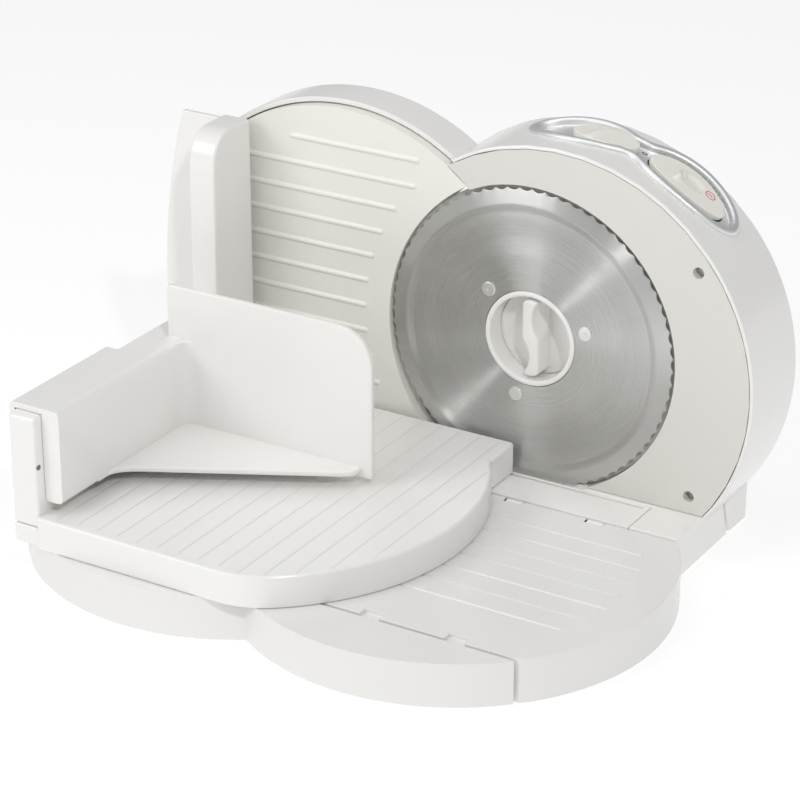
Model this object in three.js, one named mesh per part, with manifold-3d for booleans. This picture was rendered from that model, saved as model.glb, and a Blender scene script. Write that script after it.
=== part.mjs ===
// Folding food slicer in millimetres: X runs along the blade face, Y back into the body, Z up.
import * as THREE from 'three';
import { mergeVertices } from 'three/addons/utils/BufferGeometryUtils.js';
import Module from 'manifold-3d';

const wasm = await Module();
wasm.setup();

// Gaps between pieces, the overlap of joined solids, and a length that cuts right through
const SEAT = 0.3;
const RUN = 0.5;
const BITE = 1;
const LONG = 700;
const FACET_DENSITY = 1;
const CURVE_STEPS = 8;
const HELIX_STEP = 30;

// Figure-eight outline that body and folding base share
const DISC_R = 116.5;
const DISC_PITCH = 129;
const DISC_Z = 95;
const DISC_X = DISC_PITCH / 2;
const WALL = 3;

// Foot of the body
const FOOT_TOP = 25;
const FOOT_FLOOR = 16;
const FOOT_FRONT = -30;
const FOOT_BACK = 66;
const FOOT_LEFT_BACK = 44;
const FOOT_ROUND = 12;
const FOOT_RAMP = 9;
const LIFT = 1;
const FOOT_HALF = DISC_X + Math.sqrt(DISC_R ** 2 - (DISC_Z - FOOT_TOP) ** 2);
const SLIT_WIDTH = 2.5;
const SLIT_DEPTH = 4;
const SLIT_Y = 32;
const SLIT_TILT = 0.3;

// Motor housing
const RIM = 1.8;
const SHELL_R = DISC_R + RIM;
const SHELL_BACK = 54;
const COVER_T = 3;
const COVER_SEAM = 0.4;
const EXIT_X = 13.5;
const TOP_SCREW_ANGLE = 38.4;
const TOP_SCREW_IN = 8.9;
const LOW_SCREW_ANGLE = -35.4;
const LOW_SCREW_IN = 13;
const SCREW_R = 1.5;
const SCREW_HEAD_R = 3;
const SCREW_HEAD_T = 1.8;
const SCREW_LONG = 14;
const SCREW_SINK = 7;
const BOSS_R = 6;
const BOSS_BACK = 9;
const POST_R = 12;
const POST_BACK = 30;

// Blade and its hub
const BLADE_R = 85;
const BLADE_SHIFT = 13;
const BLADE_RISE = 8.2;
const BLADE_X = DISC_X - BLADE_SHIFT;
const BLADE_Z = DISC_Z + BLADE_RISE;
const BLADE_GAP = 1.5;
const BLADE_T = 2.4;
const BLADE_BACK = 1.4;
const SCALLOPS = 72;
const SCALLOP_DEPTH = 1.3;
const BEVEL_R = 76.5;
const BEAD_R = 72;
const BEAD_OUT = 1.2;
const STEP_R = 50;
const FACE_OUT = 0.6;
const CENTRE_IN = 1.8;
const STEP_RISE = 0.4;
const HUB_R = 27;
const HUB_OUT = 1;
const HUB_WALL = 3;
const HUB_FLOOR = 19;
const FLANGE_R = 40;
const FLANGE_T = 2;
const RIVETS = 3;
const RIVET_ORBIT = 34.5;
const RIVET_TURN = 17;
const RIVET_R = 2;
const RIVET_HEAD_R = 4;
const RIVET_HEAD_T = 0.6;
const LOCK_T = 2.5;
const LOCK_STEM_R = 7.5;
const GRIP_HALF = 22;
const GRIP_T = 10;
const GRIP_SINK = 1;
const SCOOP_R = 16;
const SCOOP_OUT = 16.8;
const SCOOP_UP = 11;
const SCOOP_SINK = 2;
const DISH_R = BLADE_R + BLADE_GAP;
const DISH_WALL = 2.5;
const DISH_BACK = 10.5;
const ARCH_R = DISH_R + DISH_WALL + RUN;

// Worm drive
const SPINDLE_R = 5;
const SLEEVE_R = 16;
const GEAR_TEETH = 40;
const GEAR_MODULE = 1.43;
const GEAR_WIDTH = 8;
const WORM_R = 4.5;
const THREAD_TURNS = 3;
const ADDENDUM = 1.25;
const DEDENDUM = 1.6;
const TOOTH_ROOT = 2;
const TOOTH_TIP = 1;
const SHAFT_R = 2.5;
const DRIVE_Y = 30.5;
const MOTOR_R = 18;
const MOTOR_TOP = 75;
const MOTOR_LOW = 33;
const FRAME_T = 3.5;
const FRAME_Y = 39.5;
const FRAME_LEFT = 21;
const FRAME_FOOT_R = 4;
const FRAME_FOOT_IN = 15;
const FRAME_EDGE = 6;
const ARM_REACH = 10;
const BORE_WALL = 5;
const GEAR_R = GEAR_TEETH * GEAR_MODULE / 2;
const WORM_LEAD = GEAR_MODULE * Math.PI;
const WORM_X = BLADE_X + GEAR_R + WORM_R;

// Back of the housing
const REAR_T = 2.7;
const DOME_R = 64;
const DOME_DEEP = 8;
const DOME_SLOPE = 9;
const DOME_SHIFT = 2;
const VENTS = 7;
const VENT_PITCH = 9;
const VENT_WIDE = 3;
const VENT_HALF = 20;
const REAR_POST_R = 9;
const REAR_POST_LONG = 15;
const REAR_POST_CLEAR = 5.4;
const REAR_LOW_ANGLE = -28;
const REAR_TOP_ANGLE = 20;
const EXIT_POST_RISE = 45;
const INLET_R = 4.3;
const INLET_BORE = 2.3;
const INLET_IN = 21;
const INLET_X = DISC_X + DISC_R - INLET_IN;
const INLET_Z = 74;

// Guard cup, gauge plate and thickness dial
const CUP_GAP = 1.5;
const CUP_R = DISC_R + CUP_GAP + WALL;
const CUP_FRONT = 5;
const CUP_BACK = 30;
const CUP_END = 10;
const GAUGE_EXIT_X = 62.1;
const GAUGE_EXIT_Z = 99.2;
const GAUGE_EXIT_R = 96.9;
const GAUGE_CLEAR = 2;
const GAUGE_LOW = FOOT_TOP + GAUGE_CLEAR;
const GAUGE_T = 2.5;
const GAUGE_BACK = 9;
const GAUGE_TRAVEL = 15;
const RIBS = 10;
const RIB_PITCH = 15;
const RIB_LOW = 56.7;
const RIB_R = 2;
const RIB_OUT = 1.1;
const RIB_INSET = 14;
const ROD_R = 4;
const ROD_RISE = 52;
const ROD_BACK = 44;
const SLEEVE_WALL = 4;
const DIAL_SHIFT = 45;
const DIAL_X = -DISC_X - DIAL_SHIFT;
const DIAL_TURN = 300;
const DIAL_SPARE = 15;
const DRUM_R = 13;
const TURRET_R = 24;
const TURRET_BACK = 52;
const KNOB_R = 25;
const KNOB_WAVES = 24;
const KNOB_WAVE = 1.2;
const FOLLOWER_R = 3.5;
const FOLLOWER_DX = 17.6;
const PIN_R = 1.6;
const PIN_Y = 33.5;
const GROOVE_DEEP = 3.2;
const STUD_R = 4;

// Switch panel on the rim, laid out round one angle
const PANEL_ANGLE = 75;
const PANEL_Y = 32.5;
const LEFT_AT = -29;
const LEFT_LONG = 31;
const LEFT_WIDE = 18;
const RIGHT_AT = 33;
const RIGHT_LONG = 33;
const RIGHT_WIDE = 20;
const WAIST = 12;
const PANEL_RISE = 2.2;
const PANEL_FLOOR = 2;
const PANEL_DEEP = 4.5;
const PANEL_LIP = 2;
const PANEL_RING = 4.5;
const SLIDER_AT = -21;
const SLIDER_LONG = 17.5;
const SLIDER_WIDE = 10.5;
const SLIDER_TRAVEL = 10;
const SLIDER_OUT = 1.4;
const STEM_HALF = 3;
const STEM_DEEP = 7;
const BUTTON_LONG = 22;
const BUTTON_WIDE = 11.5;
const BUTTON_OUT = 1;
const BUTTON_TRAVEL = 3;
const NUB_LONG = 6;
const NUB_WIDE = 7;
const NUB_OUT = 3.5;
const SWITCH_HALF = 11;
const SWITCH_WIDE = 6;
const SWITCH_TALL = 11;
const EAR = 3;

// Folding base
const BASE_REACH = 216.5;
const FRONT_DEEP = 34.5;
const SPLIT_Y = FRONT_DEEP - BASE_REACH;
const SPLIT_WIDTH = 2;
const HINGE_ROLL = 2.4;
const PIN_HINGE_R = 1.2;
const PIN_HINGE_IN = 6;
const NOTCH_IN = 63;
const NOTCH_OUT = 111.4;
const NOTCH_WIDE = 11;
const NOTCH_DEEP = 5.5;
const NOTCH_SINK = 2;
const KNUCKLE_LOW = 8;
const TRAY_PITCH = 15;
const TRAY_GROOVES = 7;
const TRAY_MARGIN = 20;
const GROOVE_WIDE = 1.6;
const GROOVE_SINK = 0.8;
const TIE_DX = 28;
const TIE_HALF = 9;
const TIE_LOW = 12;
const TIE_T = 4;
const TIE_POST_R = 4;
const TIE_REACH = 16;
const PAD_R = 7;
const PAD_T = 3;
const LOBE_Y = DISC_R - BASE_REACH;
const TRAY_BACK = FOOT_FRONT - SEAT;
const HINGE_Y = TRAY_BACK - HINGE_ROLL;
const HINGE_Z = FOOT_TOP - HINGE_ROLL;

// Carriage, its guides and the food pusher
const RAIL_HALF = 129;
const RAIL_BACK = -2.6;
const RAIL_FLOOR = 19;
const GUIDE_T = 1;
const GUIDE_DEEP = 4;
const GUIDE_LONG = 80;
const GUIDE_Y = -5.5;
const GUIDE_X = -115;
const CAR_TOP = 43;
const CAR_BACK = -3;
const CAR_SHORT = 8;
const CAR_FRONT = CAR_SHORT - BASE_REACH;
const CAR_RIGHT = 46;
const CAR_ARC_X = -56.7;
const CAR_ARC_Y = LOBE_Y;
const CAR_ARC_R = 124.7;
const CAR_ROUND = 45;
const CAR_PITCH = 14;
const CAR_MARGIN = 8;
const LEDGE_TOP = 36;
const WALL_LEFT = -136;
const WALL_RIGHT = -119.5;
const WALL_SHORT = 1.5;
const WALL_FRONT = CAR_FRONT + WALL_SHORT;
const WALL_BACK = -6;
const WALL_TOP = 98.5;
const GUARD_TOP = 199;
const GUARD_FRONT = -42;
const GUARD_ROUND = 14;
const FENCE_LEFT = -176.8;
const FENCE_CURVE = 370;
const FENCE_TOP = 197;
const PUSH_SHORT = 6;
const PUSH_FRONT = WALL_FRONT + PUSH_SHORT;
const PUSH_SADDLE_BACK = -120;
const PUSH_Y = -86.5;
const PUSH_T = 3.5;
const PUSH_SKIN = 3.2;
const PUSH_LOW = 47;
const PUSH_TOP = 131;
const PUSH_RIGHT = 8.8;
const PUSH_ROUND = 15;
const PUSH_BOX = 10.7;
const PUSH_FLOOR = 50;
const PUSH_FLAP = 60;
const PUSH_WEB_FRONT = -155;
const PUSH_WEB_BACK = -97;
const PUSH_WEB_RIGHT = 2.3;
const PUSH_FILLET = 8;
const SPIKE_ROWS = 3;
const SPIKE_COLUMNS = 5;
const SPIKE_PITCH = 18;
const SPIKE_R = 1.5;
const SPIKE_LONG = 2.5;

// Finishes
const WHITE = { color: 0xeeede8, roughness: 0.3 };
const CREAM = { color: 0xe6e3d8, roughness: 0.4 };
const SILVER = { color: 0xc4c6c8, roughness: 0.3, metalness: 0.9 };
const STEEL = { color: 0xb9bbbd, roughness: 0.3, metalness: 1 };
const GREY = { color: 0x77797b, roughness: 0.6 };
const RUBBER = { color: 0x9a9a98, roughness: 0.8 };

// Closed solids from plain geometry, and the joins and cuts between them
function solid(geometry) {
  geometry.deleteAttribute('normal');
  geometry.deleteAttribute('uv');
  const welded = mergeVertices(geometry);
  const points = welded.attributes.position;
  const corner = (slot) => new THREE.Vector3().fromBufferAttribute(points, slot);
  const faces = [];
  let volume = 0;
  for (let i = 0; i < welded.index.count; i += 3) {
    const [a, b, c] = [0, 1, 2].map((k) => welded.index.getX(i + k));
    if (a !== b && b !== c && c !== a) {
      faces.push([a, b, c]);
      volume += corner(a).dot(corner(b).cross(corner(c)));
    }
  }
  const outward = volume > 0 ? faces : faces.map(([a, b, c]) => [a, c, b]);
  return new wasm.Manifold(new wasm.Mesh({
    numProp: 3,
    vertProperties: Float32Array.from(points.array),
    triVerts: Uint32Array.from(outward.flat()),
  }));
}

const join = (first, ...rest) => rest.reduce((sum, next) => sum.add(next), first);
const cut = (first, ...rest) => rest.reduce((left, next) => left.subtract(next), first);
const common = (first, ...rest) => rest.reduce((both, next) => both.intersect(next), first);

// Facets grow with the square root of the radius
const facets = (r) => 4 * Math.ceil(Math.sqrt(r) * FACET_DENSITY);
const radians = (degrees) => degrees * Math.PI / 180;
const range = (count) => [...Array(count).keys()];

function box(x0, x1, y0, y1, z0, z1) {
  const geometry = new THREE.BoxGeometry(x1 - x0, y1 - y0, z1 - z0);
  return solid(geometry.translate((x0 + x1) / 2, (y0 + y1) / 2, (z0 + z1) / 2));
}

const cylinder = (r, length) => new THREE.CylinderGeometry(r, r, length, facets(r));
const rodX = (y, z, r, x0, x1) =>
  solid(cylinder(r, x1 - x0).rotateZ(-Math.PI / 2).translate((x0 + x1) / 2, y, z));
const rodY = (x, z, r, y0, y1) => solid(cylinder(r, y1 - y0).translate(x, (y0 + y1) / 2, z));
const rodZ = (x, y, r, z0, z1) =>
  solid(cylinder(r, z1 - z0).rotateX(Math.PI / 2).translate(x, y, (z0 + z1) / 2));

// Prisms of a flat outline: upright in XZ, level in XY, sideways in YZ
const prism = (shape, depth) =>
  new THREE.ExtrudeGeometry(shape, { depth, bevelEnabled: false, curveSegments: CURVE_STEPS });
const upright = (shape, y0, y1) =>
  solid(prism(shape, y1 - y0).rotateX(Math.PI / 2).translate(0, y1, 0));
const level = (shape, z0, z1) => solid(prism(shape, z1 - z0).translate(0, 0, z0));
function sideways(shape, x0, x1) {
  const basis = new THREE.Matrix4().makeBasis(
    new THREE.Vector3(0, 1, 0), new THREE.Vector3(0, 0, 1), new THREE.Vector3(1, 0, 0));
  return solid(prism(shape, x1 - x0).applyMatrix4(basis).translate(x0, 0, 0));
}
const outline = (points) => new THREE.Shape(points.map(([a, b]) => new THREE.Vector2(a, b)));

// Turned piece about the Y axis through x, z
function turned(x, z, profile) {
  const points = profile.map(([r, y]) => new THREE.Vector2(r, y));
  const widest = Math.max(...profile.map(([r]) => r));
  return solid(new THREE.LatheGeometry(points, facets(widest)).translate(x, 0, z));
}

// Rectangle swept along a helix about the Y axis, narrower at the outer radius
function helixBand({ inner, outer, root, tip, start, lead, from, to }) {
  const steps = Math.ceil(Math.abs(to - from) / radians(HELIX_STEP));
  const points = [];
  const faces = [];
  for (const i of range(steps + 1)) {
    const turn = from + (to - from) * i / steps;
    const y = start + lead * turn / (2 * Math.PI);
    for (const [r, dy] of [[inner, -root / 2], [outer, -tip / 2], [outer, tip / 2], [inner, root / 2]]) {
      points.push(r * Math.cos(turn), y + dy, r * Math.sin(turn));
    }
    if (i < steps) {
      for (const k of range(4)) {
        const a = 4 * i + k;
        const b = 4 * i + (k + 1) % 4;
        faces.push(a, b, a + 4, b, b + 4, a + 4);
      }
    }
  }
  const last = 4 * steps;
  faces.push(0, 2, 1, 0, 3, 2, last, last + 1, last + 2, last, last + 2, last + 3);
  const geometry = new THREE.BufferGeometry();
  geometry.setAttribute('position', new THREE.Float32BufferAttribute(points, 3));
  return geometry.setIndex(faces);
}

// Every finished piece moves so that the slicer stands centred on the origin
const CENTRE_X = (SHELL_R - CUP_R) / 2;
const CENTRE_Y = (FOOT_BACK - BASE_REACH) / 2;
const group = new THREE.Group();
function piece(name, shape, finish) {
  const { vertProperties, triVerts } = shape.getMesh();
  const geometry = new THREE.BufferGeometry();
  geometry.setAttribute('position', new THREE.Float32BufferAttribute(vertProperties, 3));
  geometry.setIndex(Array.from(triVerts));
  geometry.translate(-CENTRE_X, -CENTRE_Y, 0);
  geometry.computeVertexNormals();
  const mesh = new THREE.Mesh(geometry, new THREE.MeshStandardMaterial(finish));
  mesh.name = name;
  group.add(mesh);
}
const pieces = (name, shapes, finish) =>
  shapes.forEach((shape, i) => piece(`${name}_${i + 1}`, shape, finish));

// Places that several pieces share
const rightDisc = (r, y0, y1) => rodY(DISC_X, DISC_Z, r, y0, y1);
const leftDisc = (r, y0, y1) => rodY(-DISC_X, DISC_Z, r, y0, y1);
const bladeDisc = (r, y0, y1) => rodY(BLADE_X, BLADE_Z, r, y0, y1);
const above = (z) => box(-LONG, LONG, -LONG, LONG, z, LONG);
const rodPairs = (x, ys, r, z0, z1) =>
  ys.flatMap((y) => [-x, x].map((side) => rodZ(side, y, r, z0, z1)));

// Open way for the slices, between the exit wall and the guard cup
const passage = (grow) => common(
  join(bladeDisc(ARCH_R + grow, -LONG, LONG), leftDisc(CUP_R + SEAT + grow, -LONG, LONG)),
  box(-LONG, EXIT_X + grow, -LONG, LONG, FOOT_TOP, LONG));

// Prism over the rim: outline u along the rim and y, rising along the radius at one angle
function rimPrism(shape, angle, r0, r1) {
  const turn = radians(90 - angle);
  return solid(prism(shape, r1 - r0).translate(0, 0, r0).rotateY(turn).translate(DISC_X, 0, DISC_Z));
}
const rimBox = (u0, u1, y0, y1, angle, r0, r1) =>
  rimPrism(outline([[u0, y0], [u1, y0], [u1, y1], [u0, y1]]), angle, r0, r1);
const oval = (at, long, wide) => new THREE.Shape().absellipse(at, PANEL_Y, long, wide, 0, 2 * Math.PI);
const rimLow = SHELL_R / 2;
const rimHigh = SHELL_R * 2;
function panel(inset) {
  const bar = WAIST - inset;
  const lobe = (at, long, wide) =>
    rimPrism(oval(at, long - inset, wide - inset), PANEL_ANGLE, rimLow, rimHigh);
  return join(
    rimBox(LEFT_AT, RIGHT_AT, PANEL_Y - bar, PANEL_Y + bar, PANEL_ANGLE, rimLow, rimHigh),
    lobe(LEFT_AT, LEFT_LONG, LEFT_WIDE),
    lobe(RIGHT_AT, RIGHT_LONG, RIGHT_WIDE));
}
const rimAngle = (at) => PANEL_ANGLE - Math.asin(at / SHELL_R) * 180 / Math.PI;
const sliderAngle = rimAngle(SLIDER_AT);
const buttonAngle = rimAngle(RIGHT_AT);

// Foot outline, drawn in by an inset
function footShape(inset) {
  const half = FOOT_HALF - inset;
  const round = FOOT_ROUND - inset;
  const back = FOOT_BACK - inset;
  const left = FOOT_LEFT_BACK - inset;
  const shape = new THREE.Shape();
  shape.moveTo(-half, FOOT_FRONT + inset);
  shape.lineTo(half, FOOT_FRONT + inset);
  shape.absarc(half - round, back - round, round, 0, Math.PI / 2);
  shape.lineTo(EXIT_X + inset, back);
  shape.lineTo(EXIT_X + inset, left);
  shape.absarc(round - half, left - round, round, Math.PI / 2, Math.PI);
  return shape;
}

// Body shell: housing rim, slice exit wall and foot
const rampTop = FOOT_TOP + FOOT_RAMP;
const rampFront = SHELL_BACK + SEAT;
const slotHalf = Math.sqrt(DISH_R ** 2 - (BLADE_Z - FOOT_TOP) ** 2);
const onDisc = (r, angle) => [
  DISC_X + r * Math.cos(radians(angle)), DISC_Z + r * Math.sin(radians(angle))];
const screws = [
  onDisc(DISC_R - TOP_SCREW_IN, TOP_SCREW_ANGLE), onDisc(DISC_R - LOW_SCREW_IN, LOW_SCREW_ANGLE)];
const rearInset = SHELL_R - WALL - REAR_POST_CLEAR;
const exitPostX = EXIT_X + WALL + REAR_POST_CLEAR;
const rearPosts = [
  onDisc(rearInset, REAR_LOW_ANGLE),
  onDisc(rearInset, REAR_TOP_ANGLE),
  [exitPostX, BLADE_Z - EXIT_POST_RISE],
  [exitPostX, BLADE_Z + EXIT_POST_RISE],
];
const rearFace = SHELL_BACK - REAR_T;
const footPadXs = FOOT_HALF - PAD_R - WALL;
const footPadYs = [FOOT_FRONT + PAD_R + WALL, FOOT_LEFT_BACK - PAD_R - FOOT_ROUND];
const hollow = common(
  cut(rightDisc(SHELL_R - WALL, -LONG, LONG), passage(WALL)), above(FOOT_TOP));
const footBlock = cut(
  level(footShape(0), LIFT, rampTop),
  box(-LONG, LONG, -LONG, rampFront, FOOT_TOP, LONG),
  box(-LONG, EXIT_X, -LONG, LONG, FOOT_TOP, LONG),
  rodX(FOOT_BACK, rampTop, FOOT_BACK - rampFront, -LONG, LONG),
  level(footShape(WALL), -LONG, FOOT_FLOOR));
const slit = solid(new THREE.BoxGeometry(2 * SLIT_DEPTH, SLIT_WIDTH, LONG)
  .rotateX(SLIT_TILT).translate(FOOT_HALF, SLIT_Y, FOOT_FLOOR / 2));
const knuckleHalf = NOTCH_WIDE / 2 - RUN;
const knuckleXs = [NOTCH_IN, NOTCH_OUT].flatMap((x) => [-x, x]);
const knuckles = knuckleXs.map((x) => join(
  rodX(HINGE_Y, HINGE_Z, HINGE_ROLL, x - knuckleHalf, x + knuckleHalf),
  box(x - knuckleHalf, x + knuckleHalf, HINGE_Y - HINGE_ROLL, FOOT_FRONT + BITE, KNUCKLE_LOW, HINGE_Z)));
const hingePin = (x, grow) => rodX(HINGE_Y, HINGE_Z, PIN_HINGE_R + grow,
  x - NOTCH_WIDE / 2 - PIN_HINGE_IN - grow, x + NOTCH_WIDE / 2 + PIN_HINGE_IN + grow);
const rim = cut(
  common(rightDisc(SHELL_R, 0, SHELL_BACK), above(FOOT_FLOOR)),
  hollow,
  passage(0),
  common(rightDisc(DISC_R, -LONG, COVER_T + SEAT), above(FOOT_TOP)),
  common(bladeDisc(DISH_R + DISH_WALL + SEAT, -LONG, DISH_BACK + SEAT), above(FOOT_TOP)));
const frontPosts = screws.map(([x, z]) => common(
  rodY(x, z, POST_R, BOSS_BACK + SEAT, POST_BACK), rightDisc(SHELL_R - BITE, 0, SHELL_BACK)));
const backPosts = rearPosts.map(([x, z]) => common(
  rodY(x, z, REAR_POST_R, rearFace - REAR_POST_LONG, rearFace - SEAT),
  rightDisc(SHELL_R - BITE, 0, SHELL_BACK),
  box(EXIT_X, LONG, -LONG, LONG, FOOT_FLOOR, LONG)));
const footBosses = rodPairs(footPadXs, footPadYs, PAD_R - BITE, PAD_T + SEAT, FOOT_FLOOR + BITE);
piece('body_shell', cut(
  join(rim, footBlock, ...footBosses, ...frontPosts, ...backPosts, ...knuckles),
  box(-RAIL_HALF - SEAT, RAIL_HALF + SEAT, FOOT_FRONT - BITE, RAIL_BACK + SEAT, RAIL_FLOOR, LONG),
  box(BLADE_X - slotHalf, BLADE_X + slotHalf, RAIL_BACK, BLADE_BACK + BLADE_GAP, 0, FOOT_TOP + BITE),
  common(slit, box(0, LONG, -LONG, LONG, -LONG, FOOT_TOP - WALL)),
  panel(PANEL_LIP),
  ...knuckleXs.map((x) => hingePin(x, SEAT)),
  ...screws.map(([x, z]) => rodY(x, z, SCREW_R + SEAT, 0, SCREW_SINK + SCREW_LONG)),
  ...rearPosts.map(([x, z]) => rodY(x, z, SCREW_R + SEAT, rearFace - SCREW_LONG + REAR_T, LONG))), WHITE);

// Front cover with the dish behind the blade
const dishKeep = box(EXIT_X, LONG, -LONG, LONG, FOOT_TOP + SEAT, LONG);
const dish = cut(
  bladeDisc(DISH_R + DISH_WALL, COVER_T, DISH_BACK),
  bladeDisc(DISH_R, 0, DISH_BACK - DISH_WALL),
  bladeDisc(HUB_R + BLADE_GAP, 0, LONG));
const coverPlate = common(
  cut(
    rightDisc(DISC_R - COVER_SEAM, 0, COVER_T),
    bladeDisc(DISH_R, -LONG, LONG),
    leftDisc(DISC_R + RUN, -LONG, LONG)),
  above(FOOT_TOP + SEAT));
const coverBosses = screws.map(([x, z]) => common(
  rodY(x, z, BOSS_R, 0, BOSS_BACK), rightDisc(SHELL_R - WALL - SEAT, 0, LONG)));
piece('front_cover', cut(
  join(coverPlate, common(dish, dishKeep), ...coverBosses),
  ...screws.map(([x, z]) => rodY(x, z, SCREW_HEAD_R + SEAT, -LONG, SCREW_SINK)),
  ...screws.map(([x, z]) => rodY(x, z, SCREW_R + SEAT, 0, LONG))), CREAM);
pieces('housing_screw', screws.map(([x, z]) => join(
  rodY(x, z, SCREW_HEAD_R, SCREW_SINK - SEAT - SCREW_HEAD_T, SCREW_SINK - SEAT),
  rodY(x, z, SCREW_R, SCREW_SINK - SEAT - BITE, SCREW_SINK + SCREW_LONG - SEAT))), STEEL);

// Vented rear cover with a low dome over the motor
const domeX = WORM_X + DOME_SHIFT;
const domeBack = SHELL_BACK + DOME_DEEP;
const domeIn = DOME_R - REAR_T;
const domeLip = rearFace - BITE;
const rearPlate = common(
  cut(rightDisc(SHELL_R - WALL - SEAT, rearFace, SHELL_BACK), passage(WALL + SEAT)),
  above(FOOT_TOP + SEAT));
const dome = turned(domeX, BLADE_Z, [
  [0, domeLip], [DOME_R, domeLip], [DOME_R, SHELL_BACK], [DOME_R - DOME_SLOPE, domeBack], [0, domeBack]]);
const domeHollow = turned(domeX, BLADE_Z, [
  [0, -LONG], [domeIn, -LONG], [domeIn, rearFace], [domeIn - DOME_SLOPE, domeBack - REAR_T],
  [0, domeBack - REAR_T]]);
const vents = range(VENTS).map((i) => {
  const z = BLADE_Z + (i - (VENTS - 1) / 2) * VENT_PITCH;
  const half = VENT_WIDE / 2;
  return box(domeX - VENT_HALF, domeX + VENT_HALF, domeBack - DOME_DEEP, LONG, z - half, z + half);
});
piece('rear_cover', cut(
  join(rearPlate, common(dome, cut(above(0), passage(WALL + SEAT)))),
  domeHollow,
  ...vents,
  rodY(INLET_X, INLET_Z, INLET_R + SEAT, 0, LONG),
  ...rearPosts.map(([x, z]) => rodY(x, z, SCREW_R + SEAT, 0, LONG))), WHITE);
pieces('rear_screw', rearPosts.map(([x, z]) => join(
  rodY(x, z, SCREW_R, rearFace - SCREW_LONG + REAR_T + SEAT, SHELL_BACK + BITE),
  rodY(x, z, SCREW_HEAD_R, SHELL_BACK + SEAT, SHELL_BACK + SEAT + SCREW_HEAD_T))), STEEL);
piece('cord_inlet', cut(
  join(
    rodY(INLET_X, INLET_Z, INLET_R, rearFace - WALL, SHELL_BACK + BITE),
    rodY(INLET_X, INLET_Z, INLET_R + WALL, SHELL_BACK + SEAT, SHELL_BACK + WALL)),
  rodY(INLET_X, INLET_Z, INLET_BORE, 0, LONG)), GREY);

// Drive frame, motor and rotor
const frameLeft = BLADE_X - FRAME_LEFT;
const frameRight = WORM_X + MOTOR_R;
const frameHalf = GEAR_R + BLADE_GAP;
const motorPlate = MOTOR_TOP + SEAT;
const armLow = BLADE_Z + SLEEVE_R;
const gearClear = BLADE_X + GEAR_R - BITE;
const frameFeet = [
  [frameLeft + FRAME_FOOT_IN, -1], [frameLeft + FRAME_FOOT_IN, 1], [frameRight - FRAME_EDGE, 1]];
const driveFrame = join(
  box(
    frameLeft, WORM_X - MOTOR_R - BITE, FRAME_Y, FRAME_Y + FRAME_T,
    BLADE_Z - frameHalf, BLADE_Z + frameHalf),
  box(frameLeft, frameRight, FRAME_Y, FRAME_Y + FRAME_T, motorPlate, BLADE_Z + frameHalf),
  box(gearClear, frameRight, DRIVE_Y - MOTOR_R, FRAME_Y + BITE, motorPlate, motorPlate + WALL),
  box(gearClear, WORM_X + ARM_REACH, DRIVE_Y - ARM_REACH, FRAME_Y + BITE, armLow, armLow + FRAME_T),
  bladeDisc(SPINDLE_R + BORE_WALL, FRAME_Y, FRAME_Y + 2 * FRAME_T),
  ...frameFeet.map(([x, side]) =>
    rodY(x, BLADE_Z + side * (frameHalf - FRAME_EDGE), FRAME_FOOT_R, FRAME_Y, domeBack - REAR_T - SEAT)));
piece('drive_frame', cut(
  driveFrame,
  bladeDisc(SPINDLE_R + SEAT, 0, LONG),
  rodZ(WORM_X, DRIVE_Y, STUD_R + SEAT, motorPlate - BITE, motorPlate + WALL + BITE),
  rodZ(WORM_X, DRIVE_Y, SHAFT_R + RUN, armLow - BITE, armLow + FRAME_T + BITE)), GREY);
piece('motor_can', cut(
  join(
    rodZ(WORM_X, DRIVE_Y, MOTOR_R, MOTOR_LOW, MOTOR_TOP),
    rodZ(WORM_X, DRIVE_Y, STUD_R, MOTOR_TOP - BITE, MOTOR_TOP + WALL),
    rodZ(WORM_X, DRIVE_Y, SLEEVE_R / 2, FOOT_TOP + SEAT, MOTOR_LOW + BITE)),
  rodZ(WORM_X, DRIVE_Y, SHAFT_R + RUN, (MOTOR_LOW + MOTOR_TOP) / 2, LONG)), STEEL);
const thread = helixBand({
  inner: WORM_R - DEDENDUM - SEAT,
  outer: WORM_R + ADDENDUM,
  root: TOOTH_ROOT,
  tip: TOOTH_TIP,
  start: BLADE_Z + WORM_LEAD / 2,
  lead: -WORM_LEAD,
  from: Math.PI * (1 - THREAD_TURNS),
  to: Math.PI * (1 + THREAD_TURNS),
});
piece('motor_rotor', join(
  rodZ(WORM_X, DRIVE_Y, SHAFT_R, (MOTOR_LOW + MOTOR_TOP) / 2 + RUN, armLow + FRAME_T + BLADE_GAP),
  rodZ(WORM_X, DRIVE_Y, WORM_R - DEDENDUM, motorPlate + WALL + BITE, armLow - BITE),
  solid(thread.rotateX(Math.PI / 2).translate(WORM_X, DRIVE_Y, 0))), STEEL);

// Blade with a scalloped edge, bevel, bead and stepped centre
const bladeFace = [
  [0, CENTRE_IN], [STEP_R, CENTRE_IN], [STEP_R + BITE, CENTRE_IN - STEP_RISE], [BEAD_R, -FACE_OUT],
  [BEAD_R + BITE, -BEAD_OUT], [BEVEL_R - BITE, -BEAD_OUT], [BEVEL_R, -FACE_OUT],
  [BLADE_R + BITE, FACE_OUT], [BLADE_R + BITE, FACE_OUT + SEAT], [BEVEL_R, BLADE_BACK],
  [STEP_R, CENTRE_IN + BLADE_T], [0, CENTRE_IN + BLADE_T]];
const edge = range(SCALLOPS * 2).map((i) => {
  const r = BLADE_R - SCALLOP_DEPTH * (i % 2);
  const angle = Math.PI * i / SCALLOPS;
  return [BLADE_X + r * Math.cos(angle), BLADE_Z + r * Math.sin(angle)];
});
const rivetSpots = range(RIVETS).map((i) => {
  const angle = radians(RIVET_TURN + i * 360 / RIVETS);
  return [BLADE_X + RIVET_ORBIT * Math.cos(angle), BLADE_Z + RIVET_ORBIT * Math.sin(angle)];
});
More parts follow.
